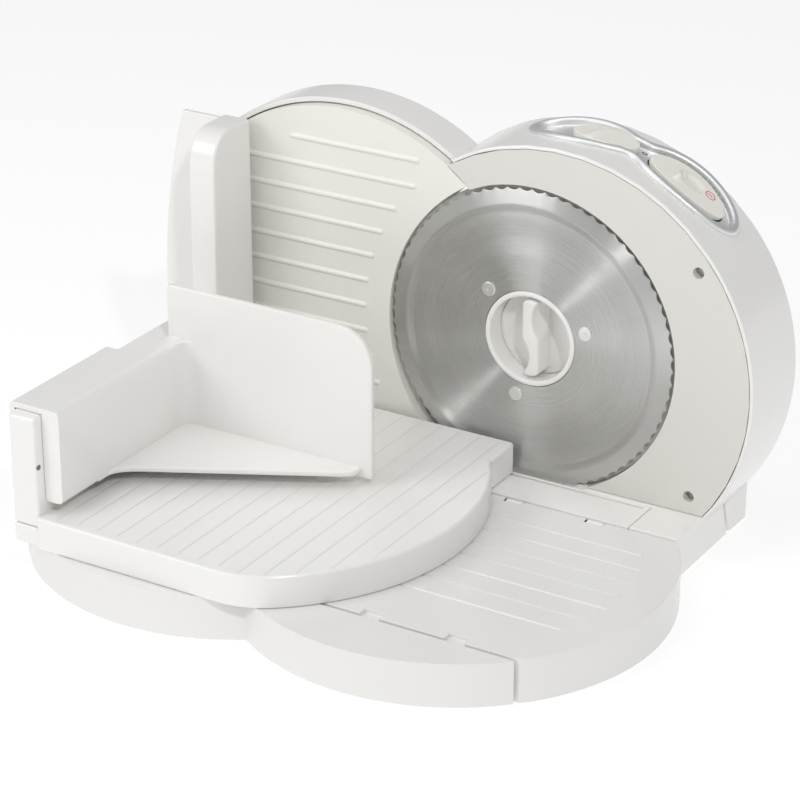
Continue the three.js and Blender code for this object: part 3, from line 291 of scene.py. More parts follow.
class Shape:
    """A mesh that grows by bmesh operators, drawn in millimetres of the object.

    CAD nodes are welded and flattened by cad_weld and cad_flat. A facet of a round wall is split if
    it is longer than least_facet and its middle lies further out than least_bow of the radius.
    Faces across an axis and level faces are known by a cosine, a groove's middle line by on_line.
    """

    cad_weld: float = 0.004
    cad_flat: float = math.radians(0.5)
    least_facet: float = 2.0
    least_bow: float = 0.9
    across_cos: float = 0.9
    level_cos: float = 0.99
    on_line: float = 0.01

    def __init__(self) -> None:
        """Start with an empty mesh."""
        self.mesh = bmesh.new()

    def copied(self, node: str, rounds: Sequence[Round] = ()) -> Shape:
        """Start from a CAD node, with flat faces whole and round walls finer.

        Args:
            node: CAD node to copy.
            rounds: Round walls to refine.

        Returns:
            This shape.
        """
        mesh = self.mesh
        mesh.from_mesh(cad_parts[node].data)
        bmesh.ops.remove_doubles(mesh, verts=mesh.verts, dist=self.cad_weld * MM)
        bmesh.ops.dissolve_limit(
            mesh, angle_limit=self.cad_flat, verts=mesh.verts, edges=mesh.edges
        )
        for wall in rounds:
            self.refined(wall)
        return self

    def refined(self, wall: Round, cuts: int = 3) -> None:
        """Split the facets of one round wall and push the new points out to its circle.

        Args:
            wall: Circle of the wall.
            cuts: New points on each facet's edge.
        """
        centre = wall.lie.place(wall.u, wall.v, 0.0)
        first, second, along = wall.lie.value
        radius = wall.r * MM

        def away(point: Vector) -> float:
            """Distance from the axis."""
            return math.hypot(point[first] - centre[first], point[second] - centre[second])

        def in_gap(point: Vector) -> bool:
            """Whether a point lies in the gap."""
            spot = (point[first], point[second])
            return wall.gap[0] < bearing((centre[first], centre[second]), spot) < wall.gap[1]

        edges = [
            edge
            for edge in self.mesh.edges
            if all(abs(away(vert.co) - radius) < NEAR * MM for vert in edge.verts)
            and abs(edge.verts[0].co[along] - edge.verts[1].co[along]) < NEAR * MM
            and edge.calc_length() > self.least_facet * MM
            and away(middle_of(edge)) > self.least_bow * radius
            and not in_gap(middle_of(edge))
        ]
        grown = bmesh.ops.subdivide_edges(
            self.mesh, edges=edges, cuts=cuts, use_grid_fill=True, use_only_quads=False
        )
        for vert in grown["geom_inner"]:
            if isinstance(vert, BMVert):
                scale = radius / away(vert.co)
                for axis in (first, second):
                    vert.co[axis] = centre[axis] + (vert.co[axis] - centre[axis]) * scale

    def outward(self) -> Shape:
        """Turn all faces outward."""
        bmesh.ops.recalc_face_normals(self.mesh, faces=self.mesh.faces)
        return self

    def pushed(self, face: BMFace, way: Vector) -> None:
        """Extrude one face; the face itself stays behind.

        Args:
            face: The face.
            way: Where its copy goes.
        """
        grown = bmesh.ops.extrude_face_region(self.mesh, geom=[face])
        verts = [item for item in grown["geom"] if isinstance(item, BMVert)]
        bmesh.ops.translate(self.mesh, verts=verts, vec=way)

    def raised(self, lie: Lie, outline: Outline, low: float, high: float) -> Shape:
        """Raise a flat outline into a solid.

        Args:
            lie: How the outline lies.
            outline: Its points in order.
            low: Where the solid starts.
            high: Where it ends.

        Returns:
            This shape.
        """
        ring = [self.mesh.verts.new(lie.place(u, v, low)) for u, v in outline]
        self.pushed(self.mesh.faces.new(ring), lie.rise(low, high))
        return self.outward()

    def hollowed(self, lie: Lie, face_at: float, wall: float, floor: float) -> Shape:
        """Sink a hollow with even walls into the flat face at one end of a raised solid.

        Args:
            lie: How the solid was raised.
            face_at: Where the open face lies.
            wall: Thickness left all round.
            floor: Where the hollow ends.

        Returns:
            This shape.
        """
        face = self.flat_face(lie, face_at)
        bmesh.ops.inset_region(self.mesh, faces=[face], thickness=wall * MM, use_even_offset=True)
        self.pushed(face, lie.rise(face_at, floor))
        bmesh.ops.delete(self.mesh, geom=[face], context="FACES_ONLY")
        return self.outward()

    def flat_face(self, lie: Lie, face_at: float) -> BMFace:
        """Find the largest face that lies across the raised axis at one height.

        Args:
            lie: How the solid was raised.
            face_at: The height.

        Returns:
            The face.
        """
        axis = lie.value[2]
        height = lie.place(0.0, 0.0, face_at)[axis]
        faces = [
            face
            for face in self.mesh.faces
            if abs(face.normal[axis]) > self.across_cos
            and abs(face.calc_center_median()[axis] - height) < NEAR * MM
        ]
        return max(faces, key=lambda face: face.calc_area())

    def turned(self, profile: Outline, x: float, z: float, steps: int = 96) -> Shape:
        """Turn a closed profile about an axis along y.

        Args:
            profile: Points of radius and y, in order round the profile.
            x: Axis of the turned piece.
            z: Axis of the turned piece.
            steps: Segments round the axis.

        Returns:
            This shape.
        """
        verts = [self.mesh.verts.new(at(x + r, y, z)) for r, y in profile]
        edges = [self.mesh.edges.new(pair) for pair in zip(verts, verts[1:] + verts[:1])]
        bmesh.ops.spin(
            self.mesh,
            geom=verts + edges,
            cent=at(x, 0.0, z),
            axis=(0.0, 1.0, 0.0),
            angle=math.tau,
            steps=steps,
            use_merge=True,
        )
        bmesh.ops.remove_doubles(self.mesh, verts=self.mesh.verts, dist=WELD * MM)
        return self.outward()

    def lofted(self, loops: Sequence[Sequence[Vector]], ring: bool = False) -> Shape:
        """Bridge closed loops of equal length in a row, then close the ends.

        Args:
            loops: Points in the shared frame, the same even number in each loop.
            ring: Joins the last loop to the first; otherwise rungs across each end close it.

        Returns:
            This shape.
        """
        rows = [[self.mesh.verts.new(point) for point in loop] for loop in loops]
        rings = [
            [self.mesh.edges.new(pair) for pair in zip(row, row[1:] + row[:1])] for row in rows
        ]
        for edges, following in zip(rings, rings[1:] + rings[:1] if ring else rings[1:]):
            bmesh.ops.bridge_loops(self.mesh, edges=edges + following)
        for row in () if ring else (rows[0], rows[-1]):
            for i in range(len(row) // 2 - 1):
                self.mesh.faces.new((row[i], row[i + 1], row[-2 - i], row[-1 - i]))
        return self.outward()

    def grooved(self, top: float, grooves: Iterable[Groove]) -> Shape:
        """Press grooves into the level face at the top.

        Args:
            top: Height of the face.
            grooves: The grooves.

        Returns:
            This shape.
        """
        for groove in grooves:
            across = 1 - groove.axis
            normal = [0.0, 0.0, 0.0]
            normal[across] = 1.0
            for offset in (-groove.width / 2, 0.0, groove.width / 2):
                spot = [0.0, 0.0, top]
                spot[across] = groove.place + offset
                faces = [
                    face
                    for face in self.mesh.faces
                    if face.normal.z > self.level_cos
                    and abs(measured(face.calc_center_median()).z - top) < NEAR
                ]
                edges = {edge for face in faces for edge in face.edges}
                verts = {vert for face in faces for vert in face.verts}
                bmesh.ops.bisect_plane(
                    self.mesh,
                    geom=[*verts, *edges, *faces],
                    dist=WELD * MM,
                    plane_co=at(*spot),
                    plane_no=normal,
                )
            self.mesh.normal_update()
            run = groove.width
            spots = (groove.start, groove.start + run, groove.end - run, groove.end)
            ends = [self.split_line(groove, spot, top) for spot in spots]
            for vert in ends[1:3]:
                vert.co.z -= groove.depth * MM
        return self

    def split_line(self, groove: Groove, spot: float, top: float) -> BMVert:
        """Put a point on the middle line of a groove.

        Args:
            groove: The groove.
            spot: Where along it.
            top: Height of the face that it lies in.

        Returns:
            The new point.
        """
        across = 1 - groove.axis
        for edge in self.mesh.edges:
            ends = [measured(vert.co) for vert in edge.verts]
            offs = [max(abs(end[across] - groove.place), abs(end.z - top)) for end in ends]
            low, high = ends[0][groove.axis], ends[1][groove.axis]
            if max(offs) <= self.on_line and min(low, high) < spot < max(low, high):
                return bmesh.utils.edge_split(edge, edge.verts[0], (spot - low) / (high - low))[1]
        raise ValueError(f"no edge at {spot} on the groove at {groove.place}")

    def rounded(
        self, width: float, steps: int = 3, where: Test | None = None, least: float = 0.0
    ) -> Shape:
        """Round the sharp edges, as a mould leaves them.

        Args:
            width: Width of the rounding.
            steps: Segments of the rounding.
            where: Keeps the edges whose middle, in millimetres of the object, it accepts.
            least: Leaves out shorter edges; zero rounds all and narrows where they crowd.

        Returns:
            This shape.
        """
        edges = [
            edge
            for edge in self.mesh.edges
            if edge.is_manifold
            and edge.calc_face_angle(0.0) > CREASE
            and edge.calc_length() > least * MM
            and (where is None or where(measured(middle_of(edge))))
        ]
        bmesh.ops.bevel(
            self.mesh,
            geom=edges,
            offset=width * MM,
            offset_type="OFFSET",
            affect="EDGES",
            segments=steps,
            profile=0.5,
            clamp_overlap=least == 0.0,
            material=-1,
        )
        return self

    def add(self, other: Shape) -> Shape:
        """Take another shape into this one.

        Args:
            other: The other shape; its mesh is freed.

        Returns:
            This shape.
        """
        data = bpy.data.meshes.new("taken_in")
        other.mesh.to_mesh(data)
        other.mesh.free()
        self.mesh.from_mesh(data)
        bpy.data.meshes.remove(data)
        return self


def add_node(
    tree: NodeTree,
    kind: str,
    settings: Mapping[str, object] | None = None,
    inputs: Mapping[str | int, object] | None = None,
) -> Node:
    """Add one node with its settings, and link or set its inputs.

    Args:
        tree: Node tree of a material or world.
        kind: Blender's class name of the node, without its leading ShaderNode.
        settings: Values of the node's own properties.
        inputs: Sockets by name or place; a socket as value is linked, any other value is set.

    Returns:
        The new node.
    """
    node = tree.nodes.new(f"ShaderNode{kind}")
    for name, value in (settings or {}).items():
        setattr(node, name, value)
    for name, value in (inputs or {}).items():
        if isinstance(value, NodeSocket):
            tree.links.new(value, node.inputs[name])
        else:
            node.inputs[name].default_value = value
    return node


def object_place(tree: NodeTree) -> NodeSocket:
    """Object coordinates of the shaded point."""
    return add_node(tree, "TexCoord").outputs["Object"]


def noise(tree: NodeTree, place: NodeSocket, size_mm: float, detail: float) -> NodeSocket:
    """Noise with patches about this wide."""
    inputs = {"Vector": place, "Scale": per_metre(size_mm), "Detail": detail}
    return add_node(tree, "TexNoise", inputs=inputs).outputs["Fac"]


def tint(tree: NodeTree, share: NodeSocket, colour: str, shade: str) -> NodeSocket:
    """Mix of two sRGB hex colours; the mix node's sockets share names, so they go by place."""
    inputs = {0: share, 6: linear(colour), 7: linear(shade)}
    return add_node(tree, "Mix", {"data_type": "RGBA"}, inputs).outputs[2]


def ranged(
    tree: NodeTree,
    value: NodeSocket,
    source: tuple[float, float],
    target: tuple[float, float] = (0.0, 1.0),
) -> NodeSocket:
    """Map one range of a value to another.

    Args:
        tree: Node tree of a material.
        value: Value to map.
        source: Range that it comes from.
        target: Range that it goes to.

    Returns:
        The mapped value, kept inside its range.
    """
    names = ("From Min", "From Max", "To Min", "To Max")
    inputs = {"Value": value, **dict(zip(names, (*source, *target)))}
    return add_node(tree, "MapRange", inputs=inputs).outputs["Result"]


def surfaced(tree: NodeTree, inputs: Mapping[str, object]) -> None:
    """End a material's tree in a principled shader with these inputs."""
    shader = add_node(tree, "BsdfPrincipled", inputs=inputs)
    add_node(tree, "OutputMaterial", inputs={"Surface": shader.outputs["BSDF"]})


@dataclass(frozen=True)
class Finish:
    """A surface finish, made into one Blender material the first time it is used."""

    name: str
    slot: Slot
    colour: str
    shade: str

    def material(self) -> Material:
        """Give the material of this finish, making it if it isn't there yet.

        Returns:
            The material.
        """
        made = bpy.data.materials.get(self.name)
        if made is None:
            made = bpy.data.materials.new(self.name)
            made.use_nodes = True
            made.node_tree.nodes.clear()
            self.paint(made.node_tree)
        return made

    def paint(self, tree: NodeTree) -> None:
        """Fill the empty node tree; each kind of finish has its own."""
        raise NotImplementedError


@dataclass(frozen=True)
class MouldedPlastic(Finish):
    """Injection-moulded plastic: a faint drift of colour, flow mottle in the gloss, fine peel."""

    roughness: float
    peel_mm: float
    peel: float
    peel_high_mm: float = 0.05
    mottle_mm: float = 14.0
    mottle: float = 0.02
    drift_mm: float = 70.0
    ior: float = 1.53

    def paint(self, tree: NodeTree) -> None:
        """Fill the node tree of this plastic.

        Args:
            tree: Empty node tree of its material.
        """
        place = object_place(tree)
        drift = noise(tree, place, self.drift_mm, detail=2.0)
        mottle = noise(tree, place, self.mottle_mm, detail=4.0)
        peel = noise(tree, place, self.peel_mm, detail=3.0)
        gloss = (self.roughness - self.mottle, self.roughness + self.mottle)
        skin = {"Strength": self.peel, "Distance": self.peel_high_mm * MM, "Height": peel}
        bump = add_node(tree, "Bump", inputs=skin)
        inputs = {
            "Base Color": tint(tree, drift, self.colour, self.shade),
            "Roughness": ranged(tree, mottle, NOISE_RANGE, gloss),
            "Normal": bump.outputs["Normal"],
            "IOR": self.ior,
        }
        surfaced(tree, inputs)


@dataclass(frozen=True)
class LatheBrushedSteel(Finish):
    """Stainless steel brushed while it turned: hair-fine rings that draw highlights into spokes."""

    smooth: float
    brushed: float
    ground: float
    ground_r: float
    centre: Spot
    uv_map: str
    ring_mm: float = 0.25
    ring_range: tuple[float, float] = (0.44, 0.6)
    ground_blend: float = 0.3
    anisotropy: float = 1.0

    def paint(self, tree: NodeTree) -> None:
        """Fill the node tree of this steel.

        Args:
            tree: Empty node tree of its material.
        """
        spot = add_node(
            tree,
            "Mapping",
            {"vector_type": "POINT"},
            {"Vector": object_place(tree), "Location": tuple(-at(*self.centre))},
        )
        parts = add_node(tree, "SeparateXYZ", inputs={0: spot.outputs["Vector"]}).outputs
        flat = add_node(tree, "CombineXYZ", inputs={"X": parts["X"], "Y": parts["Z"]})
        away = add_node(tree, "VectorMath", {"operation": "LENGTH"}, {0: flat.outputs["Vector"]})
        radius = away.outputs["Value"]
        fine = add_node(
            tree, "Math", {"operation": "MULTIPLY"}, {0: radius, 1: per_metre(self.ring_mm)}
        )
        grain = {"W": fine.outputs["Value"], "Scale": 1.0, "Detail": 5.0}
        rings = add_node(tree, "TexNoise", {"noise_dimensions": "1D"}, grain).outputs["Fac"]
        gloss = ranged(tree, rings, self.ring_range, (self.smooth, self.brushed))
        start, end = (self.ground_r + self.ground_blend * side for side in (-1, 1))
        edge = ranged(tree, radius, (start * MM, end * MM))
        sheen = add_node(
            tree, "Mix", {"data_type": "FLOAT"}, {0: edge, 2: gloss, 3: self.ground}
        )
        around = {"direction_type": "UV_MAP", "uv_map": self.uv_map}
        inputs = {
            "Base Color": tint(tree, rings, self.colour, self.shade),
            "Metallic": 1.0,
            "Roughness": sheen.outputs[0],
            "Anisotropic": self.anisotropy,
            "Tangent": add_node(tree, "Tangent", around).outputs["Tangent"],
        }
        surfaced(tree, inputs)


@dataclass(frozen=True)
class BareMetal(Finish):
    """Plain or plated metal: an even sheen with small clouds of duller metal."""

    roughness: float
    cloud_mm: float
    brighter: float = 0.04
    duller: float = 0.05

    def paint(self, tree: NodeTree) -> None:
        """Fill the node tree of this metal.

        Args:
            tree: Empty node tree of its material.
        """
        cloud = noise(tree, object_place(tree), self.cloud_mm, detail=4.0)
        gloss = (self.roughness - self.brighter, self.roughness + self.duller)
        inputs = {
            "Base Color": tint(tree, cloud, self.colour, self.shade),
            "Metallic": 1.0,
            "Roughness": ranged(tree, cloud, NOISE_RANGE, gloss),
        }
        surfaced(tree, inputs)


# Gloss white ABS, moulded and polished: soft sheen, hardly any grain.
WHITE_ABS = MouldedPlastic(
    "white_abs_gloss_moulded", Slot.WHITE, "#F1F0EE", "#EFEEEB", 0.2, peel_mm=2.4, peel=0.04
)
# The white ABS again, set greyer for the folding base: painted shade, so the base's sides sit
# darker than the housing.
SHADED_BASE_ABS = MouldedPlastic(
    "shaded_white_abs_gloss_moulded", Slot.WHITE, "#EBEAE8", "#E8E7E4", 0.24, peel_mm=2.0, peel=0.05
)
# Ivory ABS of slider and power plate, gloss moulded: warmer in tint, and set brighter than the
# housing's white as painted light on their tops.
LIT_IVORY_ABS = MouldedPlastic(
    "lit_ivory_abs_gloss_moulded", Slot.WHITE, "#F6F4EC", "#F3F1E8", 0.22, peel_mm=2.0, peel=0.04
)
# Cream ABS from a spark-eroded mould: satin, with a fine even grain; its colour set a little darker
# as painted shade on the front cover.
CREAM_ABS = MouldedPlastic(
    "cream_abs_satin_moulded", Slot.CREAM, "#DFDED8", "#DCDBD5", 0.34, peel_mm=0.9, peel=0.12
)
# The same cream plastic set paler for the gauge plate, as painted light (a lit copy of the cover's
# cream), with a slightly finer satin.
LIT_CREAM_ABS = MouldedPlastic(
    "lit_cream_abs_satin_moulded", Slot.CREAM, "#F0EFE8", "#EDECE5", 0.3, peel_mm=0.9, peel=0.1
)
# Grey nylon of the inner parts: matt, with coarse flow mottle.
GREY_NYLON = MouldedPlastic(
    "grey_nylon_moulded", Slot.GREY, "#77797B", "#6B6D70", 0.55, peel_mm=0.8, peel=0.4
)
# Soft rubber of the feet: dull, with a pitted skin.
PAD_RUBBER = MouldedPlastic(
    "grey_rubber_pressed", Slot.RUBBER, "#8E8E8B", "#7F7F7C", 0.8, peel_mm=0.7, peel=0.6
)
# Red and dark grey pad-printing ink of the switch marks: thin, a little glossy.
RED_INK = MouldedPlastic(
    "red_pad_print_ink", Slot.WHITE, "#DB5A6B", "#D65466", 0.4, peel_mm=0.5, peel=0.1
)
GREY_INK = MouldedPlastic(
    "grey_pad_print_ink", Slot.SILVER, "#4A4C4E", "#434547", 0.4, peel_mm=0.5, peel=0.1
)
# Stainless blade steel, brushed in rings on a lathe, with an evenly ground edge.
BLADE_STEEL = LatheBrushedSteel(
    "stainless_steel_lathe_brushed",
    Slot.BLADE,
    "#D8D8D6",
    "#CACAC8",
    smooth=0.24,
    brushed=0.5,
    ground=0.34,
    ground_r=76.5,
    centre=(PLAN.blade_x, 0.0, PLAN.blade_z),
    uv_map=BLADE_UV,
)
# Zinc-plated steel of screws, pins and rods.
PLAIN_STEEL = BareMetal("zinc_plated_steel", Slot.STEEL, "#C3C5C6", "#AEB0B2", 0.34, 4.0)
# Bright aluminium of the blade rivets.
RIVET_ALUMINIUM = BareMetal("bright_aluminium", Slot.STEEL, "#F2F2F0", "#EAEAE8", 0.34, 3.0)
# Satin silver plating on plastic.
SILVER_PLATING = BareMetal("satin_silver_plating", Slot.SILVER, "#EFF0F0", "#E8E9EA", 0.48, 12.0)


def dress(nodes: Iterable[str], finish: Finish) -> None:
    """Give carried-over CAD nodes their finish.

    Args:
        nodes: Names of CAD nodes.
        finish: Finish for all of them.
    """
    for name in nodes:
        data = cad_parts[name].data
        data.materials.clear()
        data.materials.append(finish.material())
        LOG.info("dressed %s with %s", name, finish.name)


def placed(name: str, data: ID) -> Object:
    """Put a new object into the scene.

    Args:
        name: Its name.
        data: Its mesh, lamp or camera.

    Returns:
        The object.
    """
    made = bpy.data.objects.new(name, data)
    bpy.context.scene.collection.objects.link(made)
    return made


def show(name: str, shape: Shape, finish: Finish, body: str, nodes: Sequence[str] = ()) -> None:
    """Turn a finished shape into a piece that rides on a CAD body.

    Args:
        name: Name of the piece.
        shape: Shape to show; its mesh is freed.
        finish: Surface finish.
        body: CAD body that the piece moves with.
        nodes: CAD nodes that the piece stands for.
    """
    data = bpy.data.meshes.new(name)
    shape.mesh.to_mesh(data)
    shape.mesh.free()
    data.materials.append(finish.material())
    data.shade_smooth()
    data.set_sharp_from_angle(angle=CREASE)
    piece = placed(name, data)
    normals = piece.modifiers.new("flat_faces_stay_flat", "WEIGHTED_NORMAL")
    normals.keep_sharp = True
    normals.weight = 90
    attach(piece, body)
    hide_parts(*nodes)
    LOG.info("built %s: %d faces", name, len(data.polygons))


def moulded(
    node: str,
    finish: Finish,
    body: str,
    edge: float,
    rounds: Sequence[Round] = (),
    where: Test | None = None,
) -> None:
    """Stand a copy of a CAD node in its place, with round walls finer and sharp edges rounded.

    Args:
        node: CAD node to copy and replace.
        finish: Surface finish.
        body: CAD body of the node.
        edge: Width of the rounding.
        rounds: Round walls to refine.
        where: Keeps the edges whose middle, in millimetres of the object, it accepts.
    """
    shape = Shape().copied(node, rounds)
    shape.rounded(edge, steps=2, where=where, least=LEAST_EDGE * edge)
    show(f"moulded_{node}", shape, finish, body, [node])


def numbered(name: str, count: int) -> list[str]:
    """Names of a numbered row of CAD nodes."""
    return [f"{name}_{i}" for i in range(1, count + 1)]


@dataclass(frozen=True)
class Softbox:
    """Square lamp: its place in millimetres, its side in metres and its power in watts."""

    name: str
    place: Spot
    side_m: float
    watts: float


@dataclass
class Studio:
    """Camera, soft light and pale floor."""

    eye: Spot = (717.65, -1241.87, 713.11)
    view: Spot = (-0.46797, 0.77942, -0.41655)
    lens_mm: float = 129.68
    sensor_mm: float = 36.0
    lamps: tuple[Softbox, ...] = (
        Softbox("key", (-900.0, -1350.0, 950.0), 0.9, 8.0),
        Softbox("top", (-250.0, -300.0, 1750.0), 1.2, 6.0),
        Softbox("flash", (1051.0, -1120.0, 1423.0), 0.1, 10.0),
    )
    aim: Spot = (0.0, -60.0, 80.0)
    white: str = "#FFFFFF"
    room: float = 0.38
    paper: str = "#A9A9A9"
    paper_rough: float = 0.9
    glow: float = 0.675
    floor_m: float = 12.0
    floor_down_m: float = 0.0002

    def build(self) -> None:
        """Set up camera, lights, world and floor."""
        self.camera()
        for lamp in self.lamps:
            self.hang(lamp)
        self.world()
        self.floor()

    def camera(self) -> None:
        """Place the camera of the main view."""
        data = bpy.data.cameras.new("main_view")
        data.lens = self.lens_mm
        data.sensor_width = self.sensor_mm
        camera = placed("main_view", data)
        camera.location = at(*self.eye)
        camera.rotation_euler = Vector(self.view).to_track_quat("-Z", "Y").to_euler()
        bpy.context.scene.camera = camera

    def hang(self, lamp: Softbox) -> None:
        """Hang one softbox that faces the object.

        Args:
            lamp: The softbox.
        """
        data = bpy.data.lights.new(lamp.name, "AREA")
        data.shape = "SQUARE"
        data.size = lamp.side_m
        data.energy = lamp.watts
        light = placed(lamp.name, data)
        light.location = at(*lamp.place)
        way = at(*self.aim) - light.location
        light.rotation_euler = way.to_track_quat("-Z", "Y").to_euler()

    def world(self) -> None:
        """Fill the room with even white light."""
        world = bpy.data.worlds.new("white_room")
        world.use_nodes = True
        tree = world.node_tree
        tree.nodes.clear()
        even = {"Color": linear(self.white), "Strength": self.room}
        light = add_node(tree, "Background", inputs=even).outputs["Background"]
        add_node(tree, "OutputWorld", inputs={"Surface": light})
        bpy.context.scene.world = world
        bpy.context.scene.view_settings.view_transform = "Standard"

    def floor(self) -> None:
        """Lay a plain pale floor."""
        mesh = bmesh.new()
        bmesh.ops.create_grid(mesh, x_segments=1, y_segments=1, size=self.floor_m / 2)
        data = bpy.data.meshes.new("floor")
        mesh.to_mesh(data)
        mesh.free()
        paper = bpy.data.materials.new("white_paper")
        paper.use_nodes = True
        sockets = paper.node_tree.nodes["Principled BSDF"].inputs
        sockets["Base Color"].default_value = linear(self.paper)
        sockets["Roughness"].default_value = self.paper_rough
        sockets["Emission Color"].default_value = linear(self.white)
        sockets["Emission Strength"].default_value = self.glow
        data.materials.append(paper)
        floor = placed("floor", data)
        floor.location = (0.0, 0.0, -self.floor_down_m)


@dataclass
class Housing:
    """Motor housing with its foot, covers and guard cup."""

    edge: float = 0.8
    seam_edge: float = 0.2
    inlet_edge: float = 0.4
    wall: float = 3.0
    cover_r: float = 116.2
    dish_r: float = 86.5
    ledge_r: float = 74.0
    ledge_y: float = 5.2
    ledge_round: float = 0.5
    vent_x: float = 86.6
    vent_half: float = 20.0
    vent_rise: float = 28.5
    screw_spots: Pairs = ((148.8, 161.8), (148.9, 35.0))
    plug_r: float = 3.2
    plug_wall: float = 0.15
    plug_front: float = 0.5
    plug_floor: float = 6.2
    plug_round: float = 1.6
    plug_steps: int = 48
    panel_low: float = 8.0
    panel_high: float = 53.0
    panel_gap: tuple[float, float] = (38.0, 109.0)
    cup_r: float = 121.0

    def build(self) -> None:
        """Build the housing's pieces."""
        radii = (PLAN.shell_r, PLAN.disc_r, PLAN.shell_r - self.wall)
        drum = [Round(Lie.UPRIGHT, PLAN.disc_x, PLAN.disc_z, r, self.panel_gap) for r in radii]
        moulded("body_shell", WHITE_ABS, "frame", self.edge, drum, self.beside_panel)
        face = [
            Round(Lie.UPRIGHT, PLAN.disc_x, PLAN.disc_z, self.cover_r),
            Round(Lie.UPRIGHT, PLAN.blade_x, PLAN.blade_z, self.dish_r),
        ]
        moulded("front_cover", CREAM_ABS, "frame", self.seam_edge, face)
        outer, back = self.dish_r - PLAN.seat, self.ledge_y + self.wall
        ring = stairs(self.ledge_r, self.ledge_y, outer, back, self.ledge_r)
        ledge = Shape().turned(eased(ring, [self.ledge_round]), PLAN.blade_x, PLAN.blade_z)
        show("dish_ledge", ledge, CREAM_ABS, "frame")
        for i, spot in enumerate(self.screw_spots):
            show(f"screw_plug_{i + 1}", self.plug(*spot), CREAM_ABS, "frame")
        moulded("rear_cover", WHITE_ABS, "frame", self.edge, where=self.beside_vents)
        radii = (self.cup_r, self.cup_r - self.wall)
        cup = [Round(Lie.UPRIGHT, -PLAN.disc_x, PLAN.disc_z, r) for r in radii]
        cup.append(Round(Lie.UPRIGHT, *PLAN.exit))
        moulded("guard_cup", WHITE_ABS, "frame", self.edge, cup)
        moulded("cord_inlet", GREY_NYLON, "frame", self.inlet_edge)
        dress(numbered("housing_screw", 2) + numbered("rear_screw", 4), PLAIN_STEEL)
        dress(numbered("hinge_pin", 4), PLAIN_STEEL)
        dress(numbered("body_pad", 4), PAD_RUBBER)

    def plug(self, x: float, z: float) -> Shape:
        """Turn the cup that lines one screw hole and covers its screw.

        Args:
            x: Its axis along the blade face.
            z: Its axis above the floor.

        Returns:
            The cup.
        """
        inner, back = self.plug_r - self.plug_wall, self.plug_floor + self.plug_wall
        corners = stairs(0.0, self.plug_floor, inner, self.plug_front, self.plug_r, back, 0.0)
        return Shape().turned(eased(corners, [0.0, self.plug_round]), x, z, self.plug_steps)

    def beside_vents(self, spot: Vector) -> bool:
        """Tell the edges of the rear cover from those of its vents, which are cut sharp."""
        across, up = abs(spot.x - self.vent_x), abs(spot.z - PLAN.blade_z)
        return across > self.vent_half + PLAN.seat or up > self.vent_rise + PLAN.seat

    def beside_panel(self, spot: Vector) -> bool:
        """Tell the edges of the shell from those at the cover's seam and under the switch panel.

        Args:
            spot: Middle of an edge, in millimetres.

        Returns:
            Whether the edge is rounded.
        """
        away = math.hypot(spot.x - PLAN.disc_x, spot.z - PLAN.disc_z)
        on_rim = away > PLAN.shell_r - 2 * self.wall and spot.z > PLAN.disc_z
        at_seam = abs(away - PLAN.disc_r) < PLAN.seat and spot.y < self.panel_low
        return not (at_seam or on_rim and self.panel_low < spot.y < self.panel_high)


